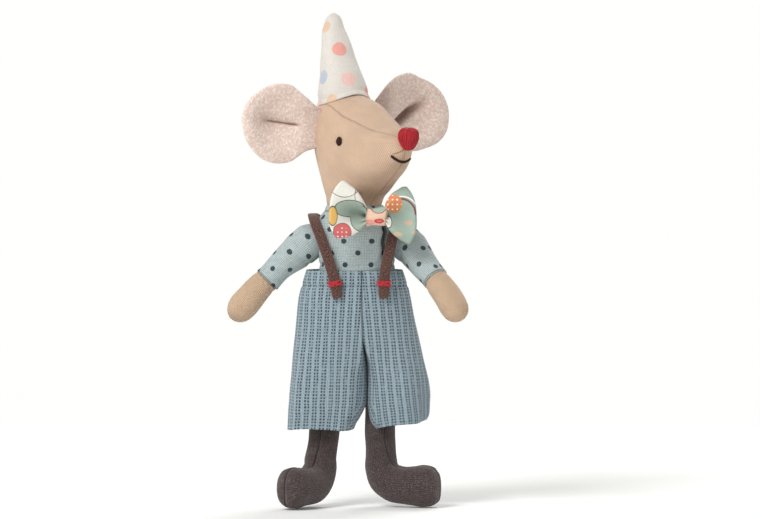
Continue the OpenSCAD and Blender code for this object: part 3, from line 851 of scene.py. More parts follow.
def hat_dots():
    """Large dots all round the hat: (turn in degrees, height, radius, dye)."""
    tan, coral, pink = srgb(226, 190, 156), srgb(238, 154, 142), srgb(240, 192, 184)
    blue, green = srgb(180, 190, 208), srgb(186, 200, 180)
    rows = [
        (-80, 26.6, 2.1, tan), (-22, 17.0, 2.75, coral), (-88, 7.8, 2.6, blue), (-15, 5.0, 2.6, pink),
        (-62, -1.8, 2.3, tan), (-104, -2.6, 2.2, pink), (44, 0.6, 2.4, coral), (64, 12.0, 2.4, blue),
        (78, 24.0, 1.9, pink), (86, 4.0, 2.4, tan), (104, 15.5, 2.2, coral), (130, 1.0, 2.4, pink),
        (150, 9.5, 2.3, green), (172, 18.5, 2.2, tan), (-130, 13.0, 2.3, coral), (-134, 3.0, 2.4, green),
        (-150, 20.5, 2.0, pink), (-160, 8.0, 2.3, blue), (176, -2.0, 2.3, coral), (128, 22.0, 1.9, blue),
    ]
    flat = [[float(x) for x in hat_flat(math.radians(row[0]), row[1])] for row in rows]
    return [(at, radius, dye) for at, (_, _, radius, dye) in zip(flat, rows)]


# ---------------------------------------------------------------- ears

# Ear outlines from the lower end of the root, round the rim, to its upper end: [away from the head, up]
RIGHT_EAR = [
    [-3.0, -6.8], [0.8, -8.1], [2.8, -9.0], [5.6, -11.2], [8.6, -13.2], [14.6, -14.2], [20.6, -12.7],
    [26.3, -7.9], [29.1, -1.5], [28.9, 3.6], [26.4, 8.2], [21.8, 12.0], [17.2, 14.1], [12.8, 14.6],
    [9.4, 14.1], [4.4, 11.0], [0.6, 8.6], [-3.0, 7.0],
]
LEFT_EAR = [
    [-3.0, -7.0], [0.8, -8.4], [3.4, -10.6], [7.5, -12.6], [12.5, -13.4], [17.5, -13.1], [24.2, -11.6],
    [28.8, -7.6], [30.3, -1.6], [29.6, 2.9], [27.3, 7.0], [23.4, 10.6], [18.5, 13.2], [14.6, 15.1],
    [11.2, 15.3], [6.9, 14.3], [2.3, 11.6], [-3.0, 7.0],
]


def ear_frame(side):
    root_f = -5.5
    root_s, root_z = (16.0, 140.1) if side > 0 else (14.6, 136.8)
    turn = math.radians(94) * side
    away = math.cos(turn) * SNOUT + math.sin(turn) * CHEEK
    back = (-math.sin(turn) * SNOUT + math.cos(turn) * CHEEK) * side
    lean = math.radians(6)
    across = away * math.cos(lean) + UP * math.sin(lean)
    rise = UP * math.cos(lean) - away * math.sin(lean)
    return from_head(root_f, side * root_s, root_z), across, back, rise


def make_ear(side, pile, knit):
    root, across, back, rise = ear_frame(side)
    outline = np.array(LEFT_EAR if side > 0 else RIGHT_EAR)
    rim = curve(np.column_stack([outline, np.zeros(len(outline))]), 150)[:, :2]
    base = np.linspace(rim[-1], rim[0], 34)[1:-1]
    ring = np.vstack([rim, base])
    centre = np.array([13.4, 0.4])
    share = np.linspace(0, 1, 54)[1:]
    u, w = (centre[k] + share[:, None] * (ring[None, :, k] - centre[k]) for k in (0, 1))
    flat = np.broadcast_to(share[:, None], u.shape)
    # Cupped to the front, and pinched along a fold that opens out from the root.
    if side < 0:
        fold = w - 0.7 - 0.03 * (u - 10)
        reach = smooth(u, 3, 7) * smooth(-u, -22, -13)
        width = 0.4 + 0.05 * np.clip(u, 0, 30)
        hollow = near(np.hypot((u - 18) * 0.75, w - 1.0), 3.0)
        cup = reach * (1.1 * near(fold, width) + 0.8 * near(fold, width * 4))
        cup = 2.3 * (1 - flat**2) + cup + 0.8 * hollow
        # deep is painted shade for the towelling: in the hollow, along the fold and towards the root.
        deep = 0.3 * hollow + 0.55 * near(fold, 0.5) * reach + 0.2 * smooth(-u, -12, 2)
    else:
        fold = w + 1.4 - 0.52 * (u - 10)
        reach = smooth(u, 1, 6) * smooth(-u, -24, -14)
        width = 0.7 + 0.09 * np.clip(u, 0, 30)
        lip = near(fold - 2.6, 1.7)
        cup = reach * (3.0 * near(fold, width) + 2.0 * near(fold, width * 4) - 1.3 * lip)
        cup = 2.8 * (1 - flat**2) + cup
        # deep is painted shade for the towelling: a little over the whole of this ear, which lies in shade, and
        # more just under the fold and towards the root.
        deep = 0.2 + 0.75 * near(fold + 0.7, 1.7) * reach + 0.4 * smooth(-u, -8, 0)
    cup = cup - 0.8 * near(flat - 0.78, 0.2) * smooth(u, 6, 16)
    wave = 0.35 * ripple(stack(u, w, 0), 7, 31 + side)
    half = 0.85 * np.sqrt(np.clip(1 - flat**7, 0, 1)) + 0.04
    made = []
    for layer, sign, material in (("towelling", -1, pile), ("jersey", 1, knit)):
        depth = cup + wave + sign * half
        points = root + u[..., None] * across + w[..., None] * rise + depth[..., None] * back
        seam = stack(np.where(reach > 0.5, fold, FAR), deep, 0) if sign < 0 else np.full_like(points, FAR)
        grid = patch(points, wrapped(stack(u, w)), (True, False), seam)
        made.append(thicken(build(f"{NAMES[side]}_ear_{layer}", [grid], material), 0.35))
    return made


# ---------------------------------------------------------------- torso and arms

# Shirt slices: height, middle x, half width, half depth, squareness
SHIRT = [
    [62.0, 0, 12.0, 8.2, 2.5], [66, 0, 14.0, 10.2, 2.5], [78, 0, 13.7, 10.3, 2.5], [88, 0, 13.6, 10.3, 2.5],
    [94, -0.1, 14.4, 10.4, 2.5], [99, -0.2, 14.9, 10.2, 2.4], [102.5, -0.4, 14.2, 9.9, 2.3],
    [105, -0.6, 12.7, 9.6, 2.2], [107, -0.7, 10.9, 9.9, 2.05], [108.3, -0.7, 10.35, 10.1, 2.0],
    [108.9, -0.7, 10.2, 10.1, 2.0],
]


def make_shirt(material):
    z = np.concatenate([np.linspace(62, 107, 120), np.linspace(107.2, 108.9, 8)])
    columns = 224
    turn = circle(columns) + math.pi / 2
    middle, half_w, half_d, square = (c[:, None] for c in table(SHIRT, z).T)
    c, s = np.cos(turn)[None], np.sin(turn)[None]
    x = middle + half_w * power(c, 2 / square)
    y = half_d * power(s, 2 / square)
    zz = np.broadcast_to(z[:, None], x.shape)
    points = stack(x, y, zz)
    out = stack(c + 0 * x, s, 0)
    # Soft folds: across the waist, fanning from each armpit, and upright beside the doll's left brace.
    push = 0.35 * ripple(points * [1, 1, 1.6], 6, 41)
    front = smooth(-y, 2, 8)
    push = push - 0.5 * near(zz - 87.2 - 0.05 * x, 0.8) * front * near(x - 1, 7)
    tuck = x - 10.1 - 0.04 * (zz - 95) - 0.25 * np.sin(zz * 0.9)
    reach = front * smooth(zz, 88, 93) * smooth(-zz, -106, -101)
    push = push - 1.5 * near(tuck, 1.0) * reach + 0.35 * near(tuck + 2.3, 1.1) * reach
    for side in (-1, 1):
        for k, (dz, tilt) in enumerate(((-1.5, 0.55), (1.0, 0.2), (3.4, -0.2))):
            line = zz - 89.5 - dz + tilt * (side * x - 13)
            push = push - 0.32 * near(line, 0.7) * smooth(side * x, 6 + k, 12)
    edge = smooth(zz, 107.6, 108.2)
    push = push * (1 - edge) + 0.25 * near(zz - 108.0, 0.5)
    around = lengths(wrapped(points), 1)[60]
    points = points + push[..., None] * out
    uv = stack(around[None] - around[columns // 2], z[:, None])
    neckline = np.where(zz > 104, zz - 106.9, FAR)
    # How deep the cloth lies in the fold beside the doll's left brace, for the painted shade there.
    fold = np.clip(near(tuck, 1.05) + 0.16 * near(tuck + 0.9, 2.2), 0, 1) * reach
    seam = stack(FAR, neckline, FAR * (1 - fold))
    return thicken(build("shirt_body", [patch(points, uv, (True, False), seam)], material), 0.5)


# Arm slices: distance from the shoulder, half height, half depth
ARM = [
    [-3.5, 5.2, 4.8], [0, 6.6, 5.9], [4, 6.6, 5.8], [8, 6.0, 5.4], [12, 5.4, 5.1], [17, 4.9, 4.7],
    [21, 4.75, 4.5],
]
HAND = [
    [20.6, 4.5, 4.3], [21.4, 4.62, 4.42], [24, 4.8, 4.55], [29, 5.1, 4.8], [33, 5.25, 4.9], [36, 4.95, 4.6],
    [38.2, 3.9, 3.7], [39.5, 2.4, 2.3], [40.1, 1.0, 1.0],
]
ARM_LENGTH = HAND[-1][0]
# Where the sleeve ends
CUFF = 20.6


def arm_path(side):
    """The middle of the arm: a little bent, so that the hand hangs more steeply than the sleeve."""
    swing, drop = (math.radians(45), math.radians(43)) if side > 0 else (0.0, math.radians(45))
    flat = np.array([side * math.cos(swing), -math.sin(swing), 0])
    l = np.linspace(ARM[0][0], ARM_LENGTH, 219)
    lean = drop + math.radians(7) * (l - 18) / 20
    step = (np.cos(lean)[:, None] * flat + np.sin(lean)[:, None] * -UP) * np.gradient(l)[:, None]
    path = np.cumsum(step, axis=0)
    path = path - path[int(np.argmin(np.abs(l)))]
    # Brought back to the straight arm's own tip, so the bend stays inside the arm.
    tip = ARM_LENGTH * (math.cos(drop) * flat - math.sin(drop) * UP)
    path = path + np.clip(l / ARM_LENGTH, 0, 1)[:, None] * (tip - path[-1])
    return PIVOT[f"{NAMES[side]}_arm_swing"] + path, l


def arm_piece(side, rows, count):
    """Points round a stretch of the arm, their way out and distance along, and each column's turn."""
    path, l = arm_path(side)
    want = np.linspace(rows[0][0], rows[-1][0], count)
    path = np.stack([np.interp(want, l, path[:, k]) for k in range(3)], 1)
    _, rise, depth = frames_along(path, UP)
    half_h, half_d = table(rows, want).T
    turn = circle(120)
    points, out = tube(path, rise, depth, half_h, half_d, np.cos(turn), np.sin(turn))
    return points, out, np.broadcast_to(want[:, None], points.shape[:2]), turn


def make_arm(side, shirt, skin):
    points, out, l, turn = arm_piece(side, ARM, 100)
    full = np.linspace(0, 2 * math.pi, len(turn) + 1)[None]
    push = 0.32 * ripple(points, 5.5, 51 + side) * smooth(l, 1, 5)
    push = push - 0.4 * near(l - 6.5 - 1.2 * np.cos(turn + 0.6), 0.9) * smooth(-np.cos(turn), -0.2, 0.6)
    push = push + 0.06 * near(l - CUFF, 0.6)
    points = points + push[..., None] * out
    grid = patch(points, stack((full - math.pi) * 5.0, l[:, :1]), (True, False), stack(FAR, l - CUFF, FAR))
    sleeve = thicken(build(f"{NAMES[side]}_sleeve_cloth", [grid], shirt), 0.4)

    points, out, l, turn = arm_piece(side, HAND, 92)
    push = 0.2 * ripple(points, 6, 61 + side) * smooth(l, 21, 24)
    push = push - 0.22 * near(l - 22.2 + 0.5 * np.cos(turn * 9), 0.7)
    points = points + push[..., None] * out
    # Two flat panels of knit, so the ribs stay parallel and run out at the seams along the sides.
    across = np.abs((full + math.pi / 2) % (2 * math.pi) - math.pi)
    uv = stack(across * table(HAND, l[:, 0])[:, :1], l[:, :1])
    hand = build(f"{NAMES[side]}_hand_skin", [patch(points, uv, seam=stack(l - 21.15, FAR, FAR))], skin)
    return sleeve, hand


# ---------------------------------------------------------------- shorts

# Each side of the shorts, from the hem up: [height, outer edge, inner edge, half depth]
RIGHT_SIDE = [
    [28.2, -25.2, -0.9, 10.3], [30, -25.1, -0.2, 10.4], [32, -25.0, 1.0, 10.5], [35, -24.8, 2.5, 10.7],
    [38, -24.5, 3.6, 10.9], [44, -24.1, 3.8, 11.1], [50, -23.6, 3.7, 11.4], [56, -23.0, 3.0, 11.7],
    [61.4, -22.5, 2.2, 12.0], [68, -22.0, 2.0, 12.2], [75.1, -21.3, 1.9, 12.3], [79.8, -20.0, 1.8, 12.1],
    [85.6, -18.3, 1.75, 11.7],
]
LEFT_SIDE = [
    [28.4, 24.5, 6.4, 10.3], [30, 25.2, 5.2, 10.4], [32, 25.5, 4.4, 10.5], [35, 25.6, 3.9, 10.7],
    [38, 25.6, 3.6, 10.9], [44, 25.0, 3.7, 11.1], [50, 24.1, 3.6, 11.4], [56, 23.1, 2.85, 11.7],
    [61.4, 22.1, 2.15, 12.0], [68, 20.9, 2.0, 12.2], [75.1, 19.4, 1.9, 12.3], [79.8, 18.2, 1.8, 12.1],
    [85.6, 16.6, 1.75, 11.7],
]
CROTCH_Z = 61.4
# The casing's lower seam, with the gathers under it
CASING_Z = 80.0


def make_shorts(side, material):
    rows = LEFT_SIDE if side > 0 else RIGHT_SIDE
    bottom, top = rows[0][0], rows[-1][0]
    hem_end = bottom + 2
    z = np.concatenate([np.linspace(bottom, hem_end, 8, endpoint=False), np.linspace(hem_end, top, 150)])
    outer, inner, depth = (c[:, None] for c in table(rows, z).T)
    columns = 240
    outside = int(columns * 0.75)
    theta = np.radians(np.linspace(-135, 225, columns, endpoint=False))[None]
    zz = np.broadcast_to(z[:, None], (len(z), columns))
    # Above the crotch each side is half of the waist. Below it each side is a tube of its own.
    third = theta * (2 / 3)
    wall = np.clip((np.degrees(theta) - 135) / 90, 0, 1)
    is_wall = np.degrees(theta) > 135
    half_x = np.where(is_wall, inner, inner + (outer - inner) * np.clip(np.cos(third), 0, 1) ** (2 / 2.5))
    half_y = np.where(is_wall, depth * (1 - 2 * wall), depth * power(np.sin(third), 2 / 2.5))
    middle, width = (outer + inner) / 2, (outer - inner) / 2
    tube_x = middle + width * power(np.cos(theta), 2 / 2.6)
    tube_y = depth * power(np.sin(theta), 2 / 2.6)
    t = smooth(CROTCH_Z - zz, -1.0, 16)
    x = half_x * (1 - t) + tube_x * t
    y = half_y * (1 - t) + tube_y * t
    low = smooth(-zz, -70, -35)
    plain = stack(x, y, zz)
    # Loose upright folds that deepen towards the hem, and small gathers at the waist casing.
    fold = np.sin(theta * 5 + 0.5 + 0.03 * zz * side) * 0.55 + np.sin(theta * 9 + 1.9) * 0.25
    push = fold * low + 0.28 * ripple(plain, 9, 71 + side)
    gather = np.sin(theta * 46 + 2.2 * np.sin(theta * 5)) * 0.5 + 0.5 * np.sin(theta * 31 + 1.0)
    push = push - 0.32 * near(zz - CASING_Z, 0.7) + 0.16 * gather * near(zz - 79.6, 2.2)
    push = push + 0.12 * near(zz - 83.2, 1.6)
    quiet = smooth(np.abs(x - inner), 0.0, 2.5) * 0.85 + 0.15
    out_x = np.where(is_wall, -side * 0.2, side * np.clip(np.cos(third), -1, 1))
    push = push * np.where(is_wall & (zz > 40), 0.1, quiet)
    x, y = x + push * out_x, y + push * np.sin(third)
    sag = 0.35 * np.sin(theta * 3 + side) * smooth(-zz, -36, -28)
    if side > 0:
        # This hem rides up towards its outer side.
        sag = sag + 0.15 * np.clip(x - 5.5, 0, 30) * smooth(-zz, -46, -28)
    points = stack(x, y, zz + sag)
    # Stripes are measured over the cloth from the middle of each leg's front, so they follow the leg.
    around = lengths(wrapped(plain), 1)
    grain = np.interp(z, [28, top], [15.0, 9.2] if side > 0 else [-12.4, -8.8])
    half = 91
    rows = zip(grain, plain[:, :half, 0], around[:, :half])
    start = [np.interp(g * side, across * side, at) for g, across, at in rows]
    u = (around - np.array(start)[:, None]) * side
    to_seam = around[:, :-1]
    if side < 0:
        points, u, to_seam = points[:, ::-1], u[:, ::-1], to_seam[:, ::-1]
    height = points[..., 2]
    front_seam = np.where(height > CROTCH_Z - 3, to_seam, FAR)
    hem = np.where(height < 45, height - (bottom + 3.0), FAR) * 4
    waist = np.where(height > 70, height - CASING_Z, FAR)
    keep = np.ones((len(z), columns), bool)
    above = z >= CROTCH_Z - 0.3
    if side > 0:
        keep[np.ix_(above, np.arange(outside, columns))] = False
    else:
        keep[np.ix_(above, np.arange(0, columns - outside - 1))] = False
        keep[above, -1] = False
    grid = patch(points, stack(u, z[:, None]), (False, False), stack(front_seam, hem, waist), keep)
    return thicken(build(f"{NAMES[side]}_shorts_side", [grid], material), 0.5)


# ---------------------------------------------------------------- braces and their ties

LEFT_BRACE = [
    [9.6, -13.1, 75.8], [9.8, -13, 81.6], [10.3, -12.5, 86.4], [11.4, -11.5, 91.5], [12.8, -10.1, 97.5],
    [14, -7.6, 102.2], [14.5, -3.5, 105], [14.5, 0.5, 105.4], [14.2, 5, 104.4], [13.4, 8.8, 100],
    [12, 10.6, 94], [10, 12, 87.5], [8.6, 13, 81.6], [7.6, 13.1, 75.8],
]
RIGHT_BRACE = [
    [-6.9, -13.1, 75.8], [-7.9, -13, 81.6], [-9.2, -12.5, 86.4], [-10.8, -11.6, 91.5], [-12.9, -10.1, 97.5],
    [-14.8, -7.6, 102.2], [-15.7, -3.5, 105], [-15.7, 0.5, 105.4], [-15, 5, 104.4], [-13.8, 8.8, 100],
    [-12, 10.6, 94], [-10, 12, 87.5], [-8.6, 13, 81.6], [-7.6, 13.1, 75.8],
]
TIE_Z = 81.0
# Half width and half thickness of a brace, and the points along it
BRACE_W, BRACE_T, BRACE_STEPS = 1.95, 0.62, 150


def make_brace(name, route, material):
    path = curve(route, BRACE_STEPS)
    _, across, out = frames_along(path, (1, 0, 0))
    turn = circle(40)
    end = np.minimum(np.arange(BRACE_STEPS), np.arange(BRACE_STEPS)[::-1])
    wide = BRACE_W * np.sqrt(1 - np.clip(1 - end / 3.2, 0, 1) ** 2 * 0.55)
    thick = BRACE_T * np.sqrt(1 - np.clip(1 - end / 1.6, 0, 1) ** 2 * 0.8)
    c, s = power(np.cos(turn), 0.62), power(np.sin(turn), 0.62)
    points, _ = tube(path, across, out, wide, thick, c, s)
    lift = out if out[0] @ np.array([0, -1, 0]) > 0 else -out
    points = points + (0.12 * ripple(points, 3.0, 81))[..., None] * lift[:, None]
    uv = stack(np.linspace(0, 9.6, len(turn) + 1)[None], lengths(path[:, None], 0)[:, :1])
    return build(name, [patch(points, uv)], material)


def make_tie(name, route, front, material):
    """Thread wound round a brace and through the shorts, with the last turns crossing."""
    path = curve(route, BRACE_STEPS)
    from_end = np.abs((path if front else path[::-1])[:60, 2] - TIE_Z)
    k = int(np.argmin(from_end)) if front else BRACE_STEPS - 1 - int(np.argmin(from_end))
    out = np.array([0, -1.0 if front else 1.0, 0])
    centre = path[k]
    along = path[k + 1] - path[k - 1]
    along /= np.linalg.norm(along)
    across = np.cross(along, out)
    across /= np.linalg.norm(across)
    loops = []
    turn = np.linspace(0, 2 * math.pi, 40)
    slants = [(-0.75, 0.15), (-0.1, -0.1), (0.62, 0.12), (0.05, 0.95), (0.0, -1.0)]
    for n, (shift, slant) in enumerate(slants):
        w = 2.28 * np.cos(turn)
        d = (0.84 + 0.14 * (n > 2) + 0.05 * n) * power(np.sin(turn), 0.7)
        loop = centre + w[:, None] * across + d[:, None] * out + (shift + slant * w * 0.45)[:, None] * along
        loops.append(rod(loop, 0.27, up=along, columns=8, rounded=False))
    for sign in (-1, 1):
        tail = np.array([[0, 0.95, 0], [0.7 * sign, 1.3, -0.5], [1.3 * sign, 1.15, -1.1]])
        tail = centre + tail @ np.array([across, out, along])
        loops.append(rod(curve(tail, 10), 0.26, up=out, columns=8))
    return build(name, loops, material)


# ---------------------------------------------------------------- bow tie


def make_wing(side, material):
    """A flattened loop of cloth, gathered at the knot, with a valley along its middle."""
    if side < 0:
        upper = [[4.0, 106.4], [3.2, 109.4], [0.6, 113.9], [-2.4, 116.7], [-4.2, 118.0], [-5.4, 118.2]]
        lower = [[3.6, 103.0], [1.4, 100.6], [-1.1, 98.8], [-3.4, 98.0], [-5.6, 97.6], [-7.2, 97.6]]
        swell, depth0, depth1 = 3.5, -17.3, -20.2
    else:
        upper = [[9.8, 107.2], [10.4, 110.4], [12.4, 113.4], [14.6, 114.9], [16.4, 115.9], [17.8, 116.0]]
        lower = [[10.4, 102.6], [11.6, 100.4], [13.2, 98.7], [15.2, 97.2], [17.2, 95.9], [18.8, 95.4]]
        swell, depth0, depth1 = 3.1, -17.3, -17.6
    rows = 70
    top, low = (curve([[x, 0, z] for x, z in rim], rows)[:, [0, 2]] for rim in (upper, lower))
    a = np.linspace(0, 1, rows)[:, None]
    half = 60
    rising = np.linspace(-1, 1, half, endpoint=False)
    b = np.concatenate([rising, -rising])[None]
    front = np.concatenate([np.ones(half), np.zeros(half)])[None]
    edge = np.sqrt(np.clip(1 - np.abs(b) ** 6, 0, 1))
    x, z = (low[:, k : k + 1] + (top - low)[:, k : k + 1] * (b + 1) / 2 for k in (0, 1))
    x = x + side * swell * (1 - np.abs(b) ** 3) * smooth(a, 0.25, 1.0)
    y = depth0 + (depth1 - depth0) * a
    thick = (1.5 - 0.9 * a) * edge + 0.12
    # The front is drawn in along the middle near the knot, with small pleats either side.
    valley = near(b - 0.12 + 0.3 * a, 0.22 + 0.36 * a) * smooth(a, 0, 0.14) * smooth(-a, -1.0, -0.45)
    valley = (3.3 if side < 0 else 2.6) * valley
    pleats = 0.5 * np.cos(b * 9 + 1.0) * smooth(-a, -0.6, -0.05) + 0.3 * np.sin(b * 5 + a * 4)
    for at, reach, depth in ((0.55, 0.8, 1.5), (-0.5, 0.7, 1.3), (0.82, 0.55, 0.8)):
        pleats = pleats - depth * near(b - at * (1 - 0.25 * a), 0.1 + 0.1 * a) * smooth(-a, -reach, -0.05)
    bulge = -1.3 * (1 - b**2) * smooth(a, 0.05, 0.5) + 0.6 * a * b * side
    y_front = y + bulge + valley - pleats * 0.5 - thick
    y_back = y + bulge * 0.4 + thick * 0.6 + 0.3 * np.sin(b * 6) * (1 - a)
    y_back = y_back + 3.6 * (1 - b**2) * smooth(-a, -1.0, -0.3) * smooth(a, 0, 0.12)
    close = smooth(-a, -1.0, -0.955)
    y_mid = (y_front + y_back) / 2
    yy = np.where(front > 0.5, y_front, y_back)
    yy = y_mid + (yy - y_mid) * (0.25 + 0.75 * close)
    # How deep each place lies in a fold, for the shade painted into the fabric there.
    deep = np.clip(valley / 3.0 - pleats * 0.3, 0, 1) * front * smooth(-a, -0.97, -0.8)
    # The left wing's columns run the other way, as its x does.
    way = slice(None, None, -side)
    points, seam = stack(x, yy, z)[:, way], stack(deep, 0, 0)[:, way]
    grid = patch(points, wrapped(points)[..., [0, 2]], seam=seam)
    return build(f"bow_{NAMES[side]}_wing", [grid], material)


def make_knot(material):
    """The band round the middle, a little tilted, with a crease across it."""
    centre = np.array([7.0, -17.0, 105.2])
    t = np.linspace(-1, 1, 40)[:, None]
    turn = circle(64)[None]
    high = 3.1 + 0.35 * t**2 + 0.2 * np.sin(3 * t)
    deep = 2.5 - 0.5 * t**2
    z = high * power(np.sin(turn), 0.8) + 0.28 * t
    y = -deep * power(np.cos(turn), 0.8)
    y = np.where(y > 0, y * 2.4, y)
    y = y + 0.3 * near(z + 1.2 - 0.6 * t, 0.5) + 0.22 * near(z - 1.1 - 0.9 * t, 0.45)
    x = 3.9 * t + 0 * y + 0.25 * np.sin(turn * 2)
    close = smooth(-np.abs(t), -1, -0.86)
    scale = 0.55 + 0.45 * close
    points = (centre + stack(x, y * scale, z * scale))[:, ::-1]
    # Painted shade towards each end of the band, where it tucks in under the wings.
    seam = stack(np.broadcast_to(smooth(np.abs(t), 0.72, 1.0) * 0.7, points.shape[:2]), 0, 0)
    return build("bow_knot_band", [patch(points, wrapped(points)[..., [0, 2]], seam=seam)], material)


# ---------------------------------------------------------------- legs

# Middle of a leg and its foot, from under the shorts to the toe: [ahead, up, half height, half width]
BOOT = [
    [0, 40, 5.3, 5.3], [0, 34, 5.4, 5.4], [0.0, 28, 5.5, 5.4], [0.1, 23, 5.3, 5.3], [0.25, 18.6, 5.5, 5.5],
    [0.7, 14.2, 6.1, 5.9], [2.4, 10.6, 6.7, 6.1], [5.4, 8.6, 6.9, 6.2], [9, 7.9, 6.75, 6.2],
    [13, 7.9, 7.2, 6.2], [16.2, 7.9, 7.7, 6.2], [18.8, 8.0, 7.45, 5.8], [20.8, 8.1, 6.6, 5.0],
    [22.0, 8.2, 4.9, 3.8], [22.6, 8.2, 2.2, 1.8],
]


def make_boot(side, material):
    ankle_x = 8.3 if side > 0 else -13.0
    hip = PIVOT[f"{NAMES[side]}_hip"]
    yaw = math.radians(72 if side > 0 else 34)
    ahead = np.array([side * math.sin(yaw), -math.cos(yaw), 0])
    spine = np.array(BOOT)
    columns = 150
    flat = curve(np.column_stack([spine[:, 0], 0 * spine[:, 0], spine[:, 1]]), 190)
    given = np.concatenate([[0], np.cumsum(np.hypot(*np.diff(spine[:, :2], axis=0).T))])
    travel = lengths(flat[:, None], 0)[:, 0]
    half_h, half_w = table(np.column_stack([given, spine[:, 2:]]), travel * given[-1] / travel[-1]).T
    path = np.array([ankle_x, 0, 0]) + flat[:, :1] * ahead + flat[:, 2:] * UP
    path[:, 0] += (hip[0] - ankle_x) * np.clip((flat[:, 2] - 17) / (hip[2] - 17), 0, 1)
    blend = smooth(flat[:, 2], 8, 18)[:, None]
    _, top, wide = frames_along(path, ahead * blend + UP * (1 - blend))
    turn = circle(columns)
    squared = 2 / 2.15
    c, s = power(np.cos(turn), squared), power(np.sin(turn), squared)
    points, out = tube(path, top, wide, half_h, half_w, c, s)
    # The seam runs up the front of the leg and round the toe; it winds inwards as it goes up the leg.
    twist = np.radians(57 if side > 0 else 22) * smooth(path[:, 2], 3, 26)
    inward = np.sign(wide[20] @ np.array([-side, 0, 0]))
    nearest = np.sin(turn[None] - inward * twist[:, None]) * half_w[:, None]
    push = 0.25 * ripple(points, 6, 91 + side) - 0.22 * near(nearest, 0.7)
    # A crease over the ankle.
    push = push - 0.35 * near(points[..., 2] - 15.4, 0.9) * smooth(np.cos(turn)[None], -0.2, 0.8)
    points = points + push[..., None] * out
    points[..., 2] = np.maximum(points[..., 2], 0.03 + 0.05 * np.abs(ripple(points, 4, 95)))
    full = np.linspace(0, 2 * math.pi, columns + 1)[None]
    u = np.abs((full + math.pi) % (2 * math.pi) - math.pi) * (0.35 * half_w[:, None] + 3.8)
    grid = patch(points, stack(u, travel[:, None]), seam=stack(nearest, FAR, FAR))
    return build(f"{NAMES[side]}_boot_skin", [grid], material)


# ---------------------------------------------------------------- the doll

face_knit = jersey("face_jersey", srgb(213, 184, 160), srgb(180, 150, 123))
hand_knit = jersey("hand_jersey", srgb(208, 180, 153), srgb(172, 142, 113), relief=0.14)
red = thread("red_thread", srgb(206, 62, 68), srgb(140, 32, 40))
dark = thread("dark_thread", srgb(60, 33, 21), srgb(24, 11, 7), gloss=0.75)
shirt = shirt_cotton("shirt_cotton", (0.4, 92.0))
sleeve_cottons = {
    1: shirt_cotton("left_sleeve_cotton", (0.0, 6.0)),
    -1: shirt_cotton("right_sleeve_cotton", (0.0, 8.0)),
}
stripe = shorts_cotton()
brace_felt = felt()
knit = boot_knit()


def declare(piece, slot, body, *nodes, fill=None):
    """A piece's material slot (not used), the body it rides on, the nodes it replaces and, if padded, its fill
    (not used).
    """
    if nodes:
        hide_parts(*nodes)
    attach(piece, body)


head = make_head(face_knit)
declare(
    head, "face_jersey", "head",
    "head_left_panel", "head_right_panel", "head_crown_gusset", "head_stuffing", fill=0.9,
)
declare(make_hat(hat_cotton(hat_dots())), "hat_cotton", "head", "hat_cone", "hat_stuffing", fill=0.5)
nose_red = thread("nose_thread", srgb(190, 44, 52), srgb(120, 16, 28), twist=40.0, depth=0.06)
declare(make_nose(nose_red), "nose_thread", "head", "nose")
for side, name in NAMES.items():
    declare(make_eye(side, dark), "dark_thread", "head", f"{name}_eye")
declare(make_mouth(dark), "dark_thread", "head", "mouth")
lines = make_whisker_lines(thread("tan_thread", srgb(150, 112, 84), srgb(104, 74, 54)))
declare(lines, "dark_thread", "head")

pile = towelling()
for side, name in NAMES.items():
    front, back = make_ear(side, pile, face_knit)
    declare(front, "ear_towelling", f"{name}_ear", f"{name}_ear_front")
    declare(back, "face_jersey", f"{name}_ear", f"{name}_ear_back")

body = make_shirt(shirt)
declare(body, "shirt_cotton", "torso", "shirt_front", "shirt_back", "torso_stuffing", fill=0.8)

for side, name in NAMES.items():
    sleeve, hand = make_arm(side, sleeve_cottons[side], hand_knit)
    declare(hand, "face_jersey", f"{name}_arm", f"{name}_hand", f"{name}_arm_stuffing", fill=0.8)
    declare(sleeve, "shirt_cotton", f"{name}_arm", f"{name}_sleeve", fill=0.8)

    shorts_side = make_shorts(side, stripe)
    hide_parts(f"{name}_shorts_leg", "shorts_waist")
    x = PIVOT[f"{name}_hip"][0]
    start, end = tuple(in_frame([x, 0, 64])), tuple(in_frame([x, 0, 44]))
    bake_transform(shorts_side)
    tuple(start)
    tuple(end)

    leg = [f"{name}_leg_{part}" for part in ("outer_panel", "inner_panel", "stuffing")]
    declare(make_boot(side, knit), "boot_knit", f"{name}_leg", *leg, fill=0.9)

for name, route in (("left", LEFT_BRACE), ("right", RIGHT_BRACE)):
    declare(make_brace(f"{name}_brace_felt", route, brace_felt), "brace_felt", "torso", f"{name}_brace")
    for front, node in ((True, f"{name}_brace_tie"), (False, f"{name}_back_tie")):
        declare(make_tie(f"{node}_thread", route, front, red), "red_thread", "torso", node)

CREAM, MINT, PEACH = srgb(238, 236, 226), srgb(160, 178, 164), srgb(233, 196, 172)
INK, YELLOW, CORAL = srgb(92, 84, 74), srgb(226, 178, 84), srgb(214, 92, 92)
ORANGE, MAROON, WHITE = srgb(218, 134, 82), srgb(128, 66, 78), srgb(246, 242, 236)


def lined(at, size, dye, width=0.16):
    """A blob with an inked edge."""
    return ("blob", at, size, dye), ("ring", at, (*size, width), INK)


